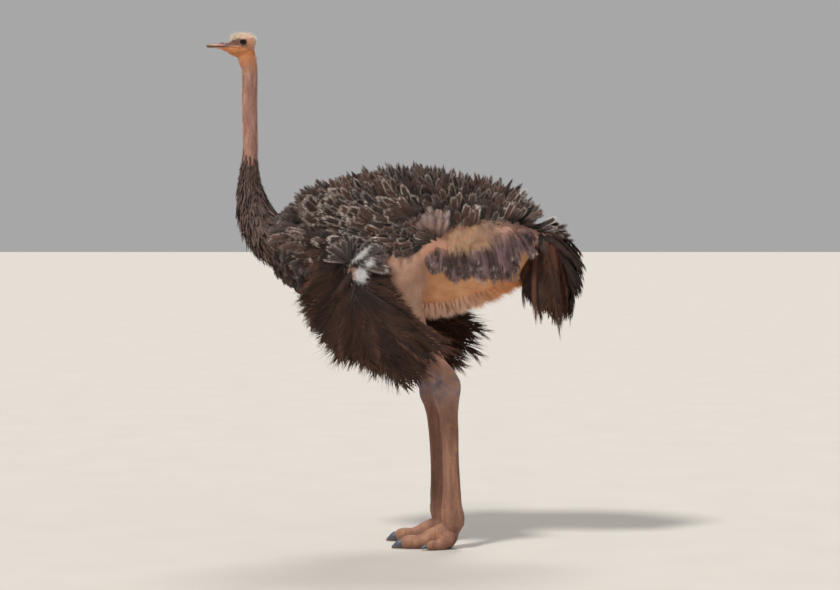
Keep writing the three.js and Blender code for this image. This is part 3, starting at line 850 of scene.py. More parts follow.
def body_roots(rng, gap):
    """Where the body's feathers leave the skin: over the trunk and the tops of the thighs."""
    u, v = scattered(trunk, gap, rng)
    place = trunk.place(u, v)
    x, z = place[:, 0], place[:, 2]
    low_edge = np.interp(
        x, [-60, 20, 110, 165, 200, 360, 410, 470, 516, 560],
        [1090, 1096, 1112, 1122, 1150, 1168, 1196, 1188, 1160, 1120],
    )
    kept = ((x < -60) & (np.cos(v) > -0.97)) | (z > low_edge + rng.normal(0, 5, len(u)))
    found = [(place[kept], trunk.outward(u, v)[kept], u[kept], v[kept])]
    for side in SIDES:
        u, v = scattered(legs[side], gap, rng, (0.0, 0.2))
        place, normal = legs[side].seat(u, v)
        edge = np.interp(place[:, 0], [-150, -60, 30, 104], [1010, 1070, 1090, 1104])
        edge = edge + rng.normal(0, 7, len(u))
        kept = (place[:, 2] > edge) & (normal[:, 1] * side > -0.1) & (place[:, 2] < 1195)
        found.append((place[kept], normal[kept], u[kept] + 0.45, v[kept]))
    return [np.concatenate([row[k] for row in found]) for k in range(4)]


def body_feathers(finish):
    """An under layer of close dark feathers, and longer ones with pale rims standing over it."""
    rng = np.random.default_rng(11)
    under, over = body_roots(rng, 18.0), body_roots(rng, 27.0)
    place, normal, u, v = [np.concatenate(pair) for pair in zip(under, over)]
    upper = np.arange(len(u)) >= len(under[2])
    x, y, z = place.T
    n = len(place)
    lean, lift, length, half, pale = lie_at(x, z)
    lock = np.sin(x * 0.046 + 2.2 * np.sin(z * 0.027 + y * 0.018))
    lock = lock * np.sin(z * 0.05 + 1.7 * np.sin(x * 0.024 - y * 0.026))
    lean = lean + 0.4 * lock + rng.normal(0, 0.13, n)
    lift = lift + 0.1 * np.sin(x * 0.06 - z * 0.045 + y * 0.05) + rng.normal(0, 0.05, n) + 0.05 * upper
    aims = leaning(lean, rng.normal(0, 0.12, n))
    aims = unit(aims - normal * (aims * normal).sum(1, keepdims=True) * np.where(z < 1180, 0.9, 0.0)[:, None])
    aims = unit(aims + normal * np.clip(lift, 0.1, 1)[:, None])
    side = np.where(np.abs(y) > 8, np.sign(y), rng.choice([-1, 1], n))
    faces = normal * 0.7 + np.stack([0 * x - 0.1, side * 0.9, 0 * x + 0.1], -1) + rng.normal(0, 0.24, (n, 3))
    length = length * rng.uniform(0.8, 1.12, n) * np.where(upper, np.where(z > 1270, 0.97, 1.12), 0.9)
    half = half * rng.uniform(0.8, 1.2, n) * np.where(upper, 1.12, 0.95)
    bend = rng.normal(0, 0.07, (n, 3)) + normal * 0.04 + np.array([0, 0, -0.07])
    patch = np.sin(x * 0.031 + 1.9 * np.sin(z * 0.023))
    patch = patch * np.sin(z * 0.037 - 1.5 * np.sin(x * 0.019 + y * 0.02))
    pale = pale * np.where(upper, 0.25 + 1.1 * rng.uniform(0, 1, n) ** 1.4, 0.3) * (0.75 + 0.7 * patch)
    # Painted highlight: on top of the feathers' own pale edges, they are made paler still over the shoulder
    # and upper flank, where light falls.
    pale = np.clip(pale * (1 + 0.5 * hill(x, -80, 210) * step(1275, 1240, z)), 0.03, 1)
    tint = np.clip(rng.uniform(0, 1, n) + 0.35 * np.sin(x * 0.04 + z * 0.05 + 1), 0, 1)
    back = z > 1232
    homes = homes_of(u, np.where(back, (v + math.pi) % math.tau, v))
    rows = (place, aims, faces, length, half, bend, homes, pale, tint)
    for name, chosen, blunt, widest in (
        ("back_feathers", back & (x < 150), 2.0, 0.6),
        ("rump_feathers", back & (x >= 150), 2.0, 0.6),
        ("left_side_feathers", ~back & (y < 0), 3.4, 0.76),
        ("right_side_feathers", ~back & (y >= 0), 3.4, 0.76),
    ):
        coat = Coat(name, finish, "body_feathers")
        kind = np.where(chosen, rng.integers(0, 4, n) + 4 * upper, -1)
        shape = dict(cup=0.42, widest=widest, base=0.42, blunt=blunt, full=0.95, ripple=0.06)
        vanes = [Vane(24 if k < 4 else 36, 2, 3.4, 100 + k, 0.25, 0.2, **shape) for k in range(8)]
        coat.add_kinds(kind, vanes, rows, twist=bell(rng, 0.28))
        coat.finished()


def neck_feathers(finish):
    rng = np.random.default_rng(12)
    coat = Coat("neck_feathers", finish, "body_feathers")
    u, v = scattered(neck, 5.6, rng, (0.44, 1.0))
    place = neck.place(u, v)
    kept = rng.uniform(0, 1, len(u)) < step(1476, 1372, place[:, 2]) ** 1.4
    u, v, place = u[kept], v[kept], place[kept]
    normal = neck.outward(u, v)
    n = len(u)
    down = unit(neck.place(np.clip(u + 0.01, 0, 1), v) - neck.place(u - 0.01, v))
    aims = unit(down + normal * rng.uniform(0.16, 0.42, n)[:, None] + rng.normal(0, 0.12, (n, 3)))
    grow = step(1420, 1180, place[:, 2])
    length = (24 + 34 * grow) * rng.uniform(0.7, 1.2, n)
    bend = np.array([0, 0, -0.08]) - normal * 0.08 + rng.normal(0, 0.05, (n, 3))
    pale = rng.uniform(0, 0.4, n) + 0.4 * step(0.4, 0.95, np.abs(normal[:, 0]))
    kind = rng.integers(0, 4, n)
    vanes = [Vane(4, 2, 9.0, 200 + k, reach=0.6, fray=0.5, cup=0.3, widest=0.5, base=0.7) for k in range(4)]
    rows = (place, aims, normal, length, 1.5 + 2.6 * grow, bend, homes_of(u, v), pale)
    coat.add_kinds(kind, vanes, rows, tint=even(rng, 0, 1))
    coat.finished()


# The drooping wing's plumes, from its front round to its rear: where each leaves the arm (0 at the shoulder,
# 1 at the elbow, 2 at the wrist), its tip and its full width.
PLUMES = np.array([
    [0.1, -332, 150, 1150, 96], [0.55, -302, 184, 1070, 104], [0.9, -262, 222, 985, 108],
    [1.0, -322, 196, 905, 118], [1.15, -310, 212, 826, 126], [1.35, -258, 234, 750, 130],
    [1.6, -182, 254, 698, 132], [1.8, -104, 266, 658, 130], [2.0, -28, 272, 634, 124],
    [2.0, 44, 274, 618, 116], [2.0, 104, 270, 648, 106], [2.0, 150, 262, 690, 98], [2.0, 186, 254, 740, 90],
    [1.8, 92, 264, 826, 96], [1.4, 8, 266, 925, 96], [1.05, -40, 262, 1010, 70],
])
JOINTS = np.array([SHOULDER, [-148, 262, 1050], [-128, 286, 925]])


def wing_plumes(side, finish):
    rng = np.random.default_rng(21 + side)
    name = "left" if side == LEFT else "right"
    stretch = RIGHT_WING["stretch"] if side == RIGHT else 1.0
    coat = Coat(f"wing_plumes_{name}", finish, "plumes")
    layers = ((56, 1.04, -14.0, 1.0), (44, 0.87, -5.0, 0.95), (36, 0.65, 3.0, 0.86), (24, 0.44, 9.0, 0.76))
    for layer, (count, share, raise_by, slim) in enumerate(layers):
        t = (np.arange(count) + rng.uniform(-0.4, 0.4, count) + 0.5) / count * (len(PLUMES) - 1)
        t = np.clip(t, 0, len(PLUMES) - 1)
        if layer == 2:
            t[-ELBOW_FLUFF:] = rng.uniform(12.6, 15, ELBOW_FLUFF)
            share = np.where(np.arange(count) < count - ELBOW_FLUFF, share, 0.95)
        on_arm, *tips, full = [np.interp(t, np.arange(len(PLUMES)), column) for column in PLUMES.T]
        arm = np.array([np.interp(on_arm, [0, 1, 2], column) for column in JOINTS.T]).T
        arm += rng.normal(0, 7, arm.shape) + np.array([0, 3, 0])
        tips = arm + (np.stack(tips, -1) - arm) * (stretch * share * rng.uniform(0.86, 1.03, count))[:, None]
        tips += rng.normal(0, 10, tips.shape) * [1, 0.5, 1]
        arm[:, 1] += raise_by * 0.35
        tips[:, 1] += raise_by
        arm, tips = swung(arm * [1, side, 1], side), swung(tips * [1, side, 1], side)
        bow = np.array([0, side * 0.16, 0.05]) + rng.normal(0, 0.05, (count, 3))
        aims, length, bend = bowed(tips - arm, np.array([0, 0, -0.03]) - bow)
        faces = np.array([-0.15, side * 1.0, 0.2]) + rng.normal(0, 0.34, (count, 3))
        half = full * 0.46 * slim * stretch * rng.uniform(0.75, 1.1, count)
        homes = np.stack([spread(t + rng.uniform(-0.2, 0.2, count)), 0.1 + 0.24 * layer + on_arm * 0.05], -1)
        pale = rng.uniform(0.1, 1.0, count) ** 1.5
        kind = rng.integers(0, 4, count)
        shape = dict(cup=0.55, widest=0.76, base=0.45, blunt=3.6, full=0.95, ripple=0.05)
        vanes = [Vane(80, 3, 2.8, 300 + 10 * layer + k, 0.27, 0.16, **shape) for k in range(4)]
        rows = (arm, aims, faces, length, half, bend, homes, pale)
        coat.add_kinds(kind, vanes, rows, tint=even(rng, 0, 1), twist=bell(rng, 0.3))
        airy = Vane(60, 2, 5.0, 360 + layer, 0.42, 0.6, 0.5, 0.84, 0.4, 5.0, full=0.2, ripple=0.25)
        rows = (arm, aims, faces, length * 1.05, half * 1.25, bend, homes, pale)
        coat.add(airy, *[row[::2] for row in rows], 0.8, 0.2)
    coat.finished()


TAIL_TIPS = np.array([
    [480, -62, 948, 92], [528, -98, 878, 104], [590, -102, 830, 104], [640, -64, 834, 98],
    [656, 0, 850, 104], [642, 64, 838, 98], [596, 100, 832, 104], [532, 98, 874, 104], [480, 62, 948, 92],
    [500, 0, 905, 96],
])


def tail_coverts(finish):
    """Short dark feathers that cover the tail's stump and run down into its plumes."""
    rng = np.random.default_rng(33)
    coat = Coat("tail_coverts", finish, "plumes")
    u, v = scattered(tail_stump, 11.0, rng)
    kept = np.cos(v) > -0.6
    u, v = u[kept], v[kept]
    place, normal = tail_stump.seat(u, v)
    n = len(u)
    lean = np.radians(-96 - 70 * u) + rng.normal(0, 0.16, n)
    aims = unit(leaning(lean, 0) + normal * rng.uniform(0.02, 0.24, n)[:, None])
    bend = np.array([0.0, 0, -0.3]) - normal * 0.2 + rng.normal(0, 0.06, (n, 3))
    length = (84 + 64 * u) * rng.uniform(0.8, 1.15, n)
    faces = normal + rng.normal(0, 0.24, (n, 3))
    kind = rng.integers(0, 3, n)
    shape = dict(cup=0.45, widest=0.74, base=0.42, blunt=3.2, full=0.95, ripple=0.06)
    for k in range(3):
        pick = kind == k
        m = pick.sum()
        half = rng.uniform(10, 15, n)
        rows = [a[pick] for a in (place, aims, faces, length, half, bend, homes_of(u, v))]
        tint = rng.uniform(0, 0.7, m)
        pale = rng.uniform(0, 0.5, m) * (1 - u[pick])
        coat.add(Vane(26, 2, 3.4, 430 + k, 0.26, 0.24, **shape), *rows, pale, tint, rng.normal(0, 0.4, m))
    coat.finished()


def tail_plumes(finish):
    rng = np.random.default_rng(31)
    coat = Coat("tail_plumes", finish, "plumes")
    count = 190
    t = rng.uniform(0, len(TAIL_TIPS), count)
    loop = np.vstack([TAIL_TIPS, TAIL_TIPS[:1]])
    row = np.array([np.interp(t, np.arange(len(loop)), column) for column in loop.T]).T
    share = 0.55 + 0.48 * rng.uniform(0, 1, count) ** 0.6
    middle = np.array([584.0, 0.0, 890.0])
    tips = middle + (row[:, :3] - middle) * (0.4 + 0.72 * rng.uniform(0, 1, (count, 1)) ** 0.4)
    roots = np.array([560.0, 0.0, 1140.0]) + (row[:, :3] - middle) * [0.4, 0.45, 0.05]
    roots += rng.normal(0, 9, roots.shape)
    wisp = np.arange(count) % 15 == 0
    share = np.where(wisp, 1.15, share)
    tips = roots + (tips - roots) * share[:, None]
    outward = unit((row[:, :3] - middle) * [1, 1, 0] + 1e-3)
    bend = -outward * 0.34 + np.array([0.0, 0, -0.14]) + rng.normal(0, 0.04, (count, 3))
    aims, length, bend = bowed(tips - roots, bend)
    faces = outward + np.array([0.15, 0, 0.3]) + rng.normal(0, 0.25, (count, 3))
    half = row[:, 3] * np.where(wisp, 0.13, 0.36) * rng.uniform(0.7, 1.1, count)
    homes = np.stack([spread(t), spread(share)], -1)
    kind = rng.integers(0, 4, count)
    shape = dict(cup=0.5, widest=0.7, base=0.42, blunt=3.2, full=0.85, ripple=0.07)
    vanes = [Vane(54, 3, 3.0, 400 + k, 0.27, 0.34, **shape) for k in range(4)]
    draws = {"tint": even(rng, 0, 1), "pale": even(rng, 0, 0.3), "twist": bell(rng, 0.4)}
    coat.add_kinds(kind, vanes, (roots, aims, faces, length, half, bend, homes), **draws)
    coat.finished()


def placed(sites, rng, jitter_u, jitter_v):
    """(u, v) near the sites given as (x, z) on both flanks of the trunk, one for each site and side."""
    us, vs = np.meshgrid(np.linspace(0.05, 0.99, 120), np.linspace(0.05, math.pi - 0.05, 120), indexing="ij")
    us, vs = us.ravel(), vs.ravel()
    x, _, z = trunk.place(us, vs).T
    found = [np.argmin((x - at_x) ** 2 + (z - at_z) ** 2) for at_x, at_z in sites]
    u, v = np.tile(us[found], 2), np.concatenate([vs[found], -vs[found]])
    return u + rng.normal(0, jitter_u, len(u)), v + rng.normal(0, jitter_v, len(v))


def flank_fringe(finish):
    """The broad lobed feathers that hang from each flank over the bare belly."""
    rng = np.random.default_rng(41)
    coat = Coat("flank_fringe", finish, "body_feathers")
    count = 34
    for layer in range(4):
        t = (np.arange(count) + rng.uniform(-0.4, 0.4, count) + 0.5) / count
        x = 116 + 352 * t
        z = np.interp(x, [116, 210, 320, 394, 440, 486], [1074, 1096, 1112, 1140, 1158, 1150])
        z = z + 9 * (layer - 1)
        place, normal = trunk.seat(*placed(np.stack([x, z], -1), rng, 0.004, 0.02))
        n = len(place)
        x, side = place[:, 0], np.sign(place[:, 1])
        lock = np.sin(x * 0.075 + 1.3 * np.sin(x * 0.021) + side)
        lean = np.radians(-166 + 62 * step(400, 486, x)) + 0.34 * lock + rng.normal(0, 0.14, n)
        aims = unit(leaning(lean, 0.1 * side) + normal * (0.5 + 0.06 * layer))
        bend = np.array([0.0, 0, -0.32]) - normal * 0.24 + rng.normal(0, 0.05, (n, 3))
        length = np.interp(x, [116, 190, 270, 357, 440, 472], [44, 88, 90, 128, 108, 52])
        length = length * (1 - 0.07 * layer + 0.13 * lock) * rng.uniform(0.86, 1.1, n)
        faces = normal + rng.normal(0, 0.24, (n, 3))
        pale = np.clip(rng.uniform(0.1, 0.7, n) + 0.7 * step(420, 468, x), 0, 1)
        homes = np.stack([spread(x + 500 * (side > 0)), 0.08 + 0.22 * layer + rng.uniform(0, 0.18, n)], -1)
        half = rng.uniform(16, 24, n) * np.interp(x, [116, 200], [0.5, 1])
        kind = rng.integers(0, 3, n)
        shape = dict(cup=0.5, widest=0.76, base=0.6, blunt=3.6, full=0.9, ripple=0.06)
        vanes = [Vane(46, 2, 3.0, 500 + 4 * layer + k, 0.3, 0.22, **shape) for k in range(3)]
        rows = (place, aims, faces, length, half, bend, homes, pale)
        coat.add_kinds(kind, vanes, rows, tint=even(rng, 0, 1), twist=bell(rng, 0.35))
    coat.finished()


def soft_down(finish, patches):
    """Fluffy locks of down, and the soft tuft above each thigh. Each patch is its middle (x, z), its reach,
    how many locks, their lean in degrees, length, half-width, lift and tint."""
    rng = np.random.default_rng(43)
    coat = Coat("flank_down", finish, "body_feathers")
    for x0, z0, wide, high, count, lean0, size, half, lift, tint in patches:
        sites = np.stack([x0 + wide * rng.uniform(-1, 1, count), z0 + high * rng.uniform(-1, 1, count)], -1)
        u, v = placed(sites, rng, 0.003, 0.01)
        place, normal = trunk.seat(u, v)
        n = len(u)
        side = np.sign(place[:, 1])
        lean = np.radians(lean0) + rng.normal(0, 0.45, n)
        aims = unit(leaning(lean, 0.1 * side) + normal * lift)
        bend = np.array([0.0, 0, -0.16]) + rng.normal(0, 0.16, (n, 3))
        homes = np.stack([spread(u + (side > 0)), spread(v % math.pi)], -1)
        shade = np.clip(tint + rng.normal(0, 0.12, n), 0, 1)
        lock = np.repeat(np.arange(n), HAIRS_IN_A_LOCK)
        m = len(lock)
        roots = place[lock] + rng.normal(0, half * 0.26, (m, 3))
        aims = unit(aims[lock] + rng.normal(0, 0.3, (m, 3)))
        bend = bend[lock] * 2.0 + rng.normal(0, 0.16, (m, 3))
        sizes = size * rng.uniform(0.75, 1.15, n)[lock] * rng.uniform(0.5, 1.1, m)
        rows = (roots, aims, rng.normal(0, 1, (m, 3)), sizes, rng.uniform(0.24, 0.46, m), bend, homes[lock])
        coat.add(Hair(), *rows, rng.uniform(0.1, 1, n)[lock], shade[lock])
    count = 13
    sites = np.stack([rng.uniform(112, 166, count), rng.uniform(1132, 1176, count)], -1)
    u, v = placed(sites, rng, 0.003, 0.01)
    place, normal = trunk.seat(u, v)
    n = len(u)
    lean = np.radians(14 - 0.5 * (place[:, 0] - 138)) + rng.normal(0, 0.2, n)
    aims = unit(leaning(lean, 0) + normal * rng.uniform(0.5, 0.75, n)[:, None])
    bend = rng.normal(0, 0.07, (n, 3)) - normal * 0.1
    homes = np.stack([spread(u + (place[:, 1] > 0)), 0.94 + 0.04 * rng.uniform(0, 1, n)], -1)
    vane = Vane(50, 2, 3.0, 540, 0.3, 0.34, 0.4, 0.72, 0.5, 3.0, full=0.7, ripple=0.16)
    faces = normal + rng.normal(0, 0.25, (n, 3))
    rows = (place, aims, faces, rng.uniform(78, 100, n), rng.uniform(15, 21, n), bend, homes)
    coat.add(vane, *rows, rng.uniform(0.1, 0.55, n), rng.uniform(0.75, 1, n), rng.normal(0, 0.3, n))
    coat.finished()


def belly_fringe(finish):
    """The thin hair-like fringe along the belly's lower edge, drawn back towards the rear."""
    rng = np.random.default_rng(51)
    coat = Coat("belly_fringe", finish, "body_feathers")
    count = 15000
    x = 104 + 384 * rng.uniform(0, 1, count)
    x += 5 * np.sin(x * 0.34) + 3 * np.sin(x * 0.83 + 1)
    ladder = np.linspace(0, 1, 400)
    u = np.interp(x, trunk.place(ladder, np.full(400, math.pi))[:, 0], ladder)
    v = math.pi + 0.62 * np.tanh(rng.normal(0, 0.5, count))
    place, normal = trunk.seat(u, v)
    rear = step(200, 420, x)
    lean = np.radians(-164 + 78 * rear) + rng.normal(0, 0.2, count) + 0.3 * np.sin(x * 0.13 + 9 * v)
    side = np.sign(place[:, 1])
    aims = unit(leaning(lean, side * 0.1) + normal * 0.3)
    bend = np.array([0.1, 0, -0.1]) + rng.normal(0, 0.08, (count, 3))
    length = (40 + 12 * rear) * rng.uniform(0.35, 1.15, count) * (1 - 0.9 * np.abs(v - math.pi))
    homes = np.stack([spread(x), spread(v)], -1)
    faces = normal * 0.3 + np.stack([0 * x, side, 0 * x], -1) + rng.normal(0, 0.5, (count, 3))
    pale = np.clip(1 - 0.8 * rear + rng.normal(0, 0.2, count), 0, 1)
    rows = (place, aims, faces, length, rng.uniform(0.35, 0.8, count), bend, homes)
    # Painted shade: hairs in bands along the fringe, most towards the front, are darkened to paint the shade
    # in the gaps between clumps.
    shaded_gaps = 0.75 * step(-0.35, -0.95, np.sin(x * 0.4 + 6 * v + 0.8 * np.sin(x * 0.11))) * (1 - 0.6 * rear)
    coat.add(Hair(), *rows, pale, shaded_gaps)
    coat.finished()


def arm_coverts(coat, side, rng):
    """Short feathers all round the upper arm, from the shoulder to the elbow."""
    count = 110
    axis = np.array(ARM[:4], float)[:, :3]
    t = 2.75 * rng.uniform(0, 1, count)
    middle = np.stack([np.interp(t, range(4), column) for column in axis.T], -1)
    on = np.minimum(t.astype(int), 2)
    along = unit(axis[on + 1] - axis[on])
    level = unit(np.cross(along, [0.0, 0, 1]))
    turn = rng.uniform(0, math.tau, count)[:, None]
    high, wide = np.cos(turn) * np.cross(level, along), np.sin(turn) * level
    out = high + wide
    roots = middle + high * 28 + wide * 20
    aims = unit(along * 0.9 + out * rng.uniform(0.3, 0.55, (count, 1)) + rng.normal(0, 0.12, (count, 3)))
    bend = rng.normal(0, 0.06, (count, 3)) - out * 0.12 + np.array([0, 0, -0.1])
    mirror = np.array([1, side, 1])
    homes = homes_beside(side, t, turn[:, 0])
    vane = Vane(24, 2, 3.4, 840, 0.25, 0.22, cup=0.42, widest=0.74, base=0.42, blunt=3.2, full=0.95)
    rows = [swung(roots * mirror, side), aims * mirror, out * mirror, rng.uniform(48, 72, count)]
    rows += [rng.uniform(12, 16, count), bend * mirror, homes, rng.uniform(0, 0.6, count)]
    coat.add(vane, *rows, 0.3, 0.2)


# The white tufts round the elbow: middle (x, z), spread along x and z, slope and number of hairs.
ELBOW_TUFTS = ((-112, 1088, 14, 3, 0.9, 700), (-116, 1010, 8, 12, 0, 1900), (-84, 1058, 8, 5, 0.5, 700))


def knob_down(finish, dark_finish):
    """White down round the elbow's bare knob, and the short dark coverts that fan out from it."""
    rng = np.random.default_rng(61)
    pale, dark = Coat("elbow_down", finish, "body_feathers"), Coat("elbow_coverts", dark_finish, "plumes")
    for side in SIDES:
        mirror = [1, side, 1]
        for x, z, wide, high, slope, count in ELBOW_TUFTS:
            root = np.array([x, 286, z]) + rng.normal(0, 0.85, (count, 3)) * [wide, 4, high]
            root[:, 2] += slope * (root[:, 0] - x)
            turn = rng.uniform(0, math.tau, count)
            aims = np.stack([np.cos(turn) * 0.7 + 0.25, np.full(count, 0.5), np.sin(turn) * 0.7 - 0.1], -1)
            root, aims = swung(root * mirror, side), unit(aims) * mirror
            bend = rng.normal(0, 0.34, (count, 3)) + np.array([0.1, 0, -0.2])
            faces = rng.normal(0, 1, (count, 3))
            homes = homes_beside(side, root[:, 0], root[:, 2])
            rows = (root, aims, faces, rng.uniform(9, 22, count), rng.uniform(0.25, 0.5, count), bend, homes)
            pale.add(Hair(), *rows, 1.0, rng.uniform(0, 0.3, count))
        count = 27
        turn = np.radians(rng.uniform(24, 184, count))
        turn[:LONG_COVERTS] = np.radians(rng.uniform(-14, 10, LONG_COVERTS))
        aims = np.stack([np.cos(turn), np.full(count, 0.16), np.sin(turn) * 0.9], -1)
        root = np.array([-148, 280, 1060]) + rng.normal(0, 1, (count, 3)) * [8, 4, 10]
        root, aims = swung(root * mirror, side), unit(aims) * mirror
        size = rng.uniform(70, 105, count)
        size[:LONG_COVERTS] = rng.uniform(104, 138, LONG_COVERTS)
        bend = rng.normal(0, 0.06, (count, 3)) + np.array([0, side * -0.1, -0.06])
        faces = np.array([0, side * 1.0, 0.2]) + rng.normal(0, 0.42, (count, 3))
        vane = Vane(44, 2, 3.0, 820, 0.24, 0.16, 0.4, 0.74, 0.4, 3.4, full=0.9, ripple=0.05)
        homes = homes_beside(side, turn, size)
        rows = (root, aims, faces, size, size * rng.uniform(0.13, 0.19, count), bend, homes)
        pales = rng.uniform(0.1, 0.75, count)
        dark.add(vane, *rows, pales, rng.uniform(0, 0.5, count), rng.normal(0, 0.3, count))
        arm_coverts(dark, side, rng)
    pale.finished()
    dark.finished()


def neck_down(finish):
    """Sparse short pale down on the bare neck, longer towards its foot."""
    rng = np.random.default_rng(71)
    coat = Coat("neck_down", finish, "bare_skin")
    u, v = scattered(neck, 3.1, rng, (0.03, 0.62))
    place = neck.place(u, v)
    kept = (place[:, 2] < 1812) & (rng.uniform(0, 1, len(u)) < 0.85)
    u, v, place = u[kept], v[kept], place[kept]
    normal = neck.outward(u, v)
    n = len(u)
    down = unit(neck.place(u + 0.01, v) - neck.place(u - 0.01, v))
    aims = unit(normal * rng.uniform(0.25, 0.8, n)[:, None] + down * 0.8 + rng.normal(0, 0.22, (n, 3)))
    length = rng.uniform(4, 9.5, n) * (1 + 0.5 * step(1500, 1400, place[:, 2]))
    bend = rng.normal(0, 0.12, (n, 3))
    faces = np.cross(aims, normal) + rng.normal(0, 0.5, (n, 3))
    rows = (place, aims, faces, length, rng.uniform(0.14, 0.27, n), bend, homes_of(u, v))
    coat.add(Hair(), *rows, rng.uniform(0.2, 1, n), step(1520, 1400, place[:, 2]) * 0.8)
    coat.finished()


def head_bristles(finish):
    """Bristly down over the crown and nape, round the ear and along the brow."""
    rng = np.random.default_rng(72)
    coat = Coat("head_bristles", finish, "bare_skin")
    u, v = scattered(head, 1.4, rng, (0.03, 0.97))
    place = head.place(u, v)
    x, y, z = place.T
    eye_gap = np.linalg.norm((place - EYE * [1, 0, 1]) * [1, 0, 1], axis=1)
    front = step(1864, 1870, z)
    crown = step(1860, 1880, z) + step(-538, -520, x) + 0.14 + 0.9 * step(-570, -584, x) * front
    bare = hill(z, 1854, 10) * step(-548, -575, x) * 0.95
    keep = (rng.uniform(0, 1, len(u)) < crown * (1 - bare)) & ((eye_gap > 16.5) | (np.abs(y) < 20))
    keep &= (z > 1822) | (rng.uniform(0, 1, len(u)) < 0.3)
    u, v, place = u[keep], v[keep], place[keep]
    normal = head.outward(u, v)
    n = len(u)
    x, _, z = place.T
    back = unit(np.stack([0.9 + 0 * x, 0 * x, 0.35 * step(1850, 1880, z) - 0.25], -1))
    top = step(1866, 1884, z) + 0.4 * step(-530, -512, x)
    front = (step(-562, -584, x) * step(1862, 1870, z))[:, None]
    back = back * (1 - front) + np.array([-0.9, 0, 0.1]) * front
    standing = (0.25 + 0.8 * np.clip(top, 0, 1))[:, None]
    aims = unit(back + normal * standing + rng.normal(0, 0.24, (n, 3)))
    length = (3.5 + 8.5 * np.clip(top, 0, 1) + 12 * front[:, 0]) * rng.uniform(0.6, 1.25, n)
    bend = rng.normal(0, 0.1, (n, 3)) + np.array([0.1, 0, 0])
    faces = np.cross(aims, normal) + rng.normal(0, 0.6, (n, 3))
    wide = (0.11 + 0.09 * np.clip(top, 0, 1)) * rng.uniform(0.8, 1.3, n)
    coat.add(Hair(), place, aims, faces, length, wide, bend, homes_of(u, v), rng.uniform(0.4, 1, n), 0.05)
    coat.finished()
    eyelashes(finish, rng)


def eyelashes(finish, rng):
    coat = Coat("lashes", finish, "bare_skin")
    count = 44
    a = np.linspace(0.12 * math.pi, 0.86 * math.pi, count)
    ring = np.stack([12.4 * np.cos(a), 0 * a, 9.6 * np.sin(a)], -1)
    out = np.sqrt(np.maximum((EYE_RADIUS + 1.5) ** 2 - (ring**2).sum(1), 1.0))
    for side in SIDES:
        roots = EYE * [1, side, 1] + ring + np.stack([0 * a, side * out, 0 * a], -1)
        aims = unit(np.stack([0.5 * np.cos(a), side * np.full(count, 1.0), 0.35 + 0.35 * np.sin(a)], -1))
        aims = unit(aims + rng.normal(0, 0.1, (count, 3)))
        size = rng.uniform(4, 6.5, count)
        bend = np.array([0.05, 0, 0.3]) + rng.normal(0, 0.05, (count, 3))
        homes = homes_beside(side, a, size, 0.47)
        faces = rng.normal(0, 1, (count, 3))
        coat.add(Hair(True, 3), roots, aims, faces, size, 0.2, bend, homes, 0.0, 1.0)
    coat.finished()


# ---------------------------------------------------------------- finishes
class Amount:
    """An output of a shader tree. Arithmetic on it adds Math nodes."""

    def __init__(self, finish, socket):
        self.finish, self.socket = finish, socket

    def math(self, operation, *others):
        return self.finish.node("ShaderNodeMath", {"operation": operation}, dict(enumerate([self, *others])))

    def __add__(self, other):
        return self.math("ADD", other)

    __radd__ = __add__

    def __mul__(self, other):
        return self.math("MULTIPLY", other)

    __rmul__ = __mul__

    def __sub__(self, other):
        return self.math("SUBTRACT", other)

    def __rsub__(self, other):
        return self.finish.node("ShaderNodeMath", {"operation": "SUBTRACT"}, {0: other, 1: self})

    def rise(self, low, high):
        """0 below low, 1 above high."""
        inputs = {"Value": self, "From Min": low, "From Max": high}
        return self.finish.node("ShaderNodeMapRange", {"interpolation_type": "SMOOTHSTEP"}, inputs)


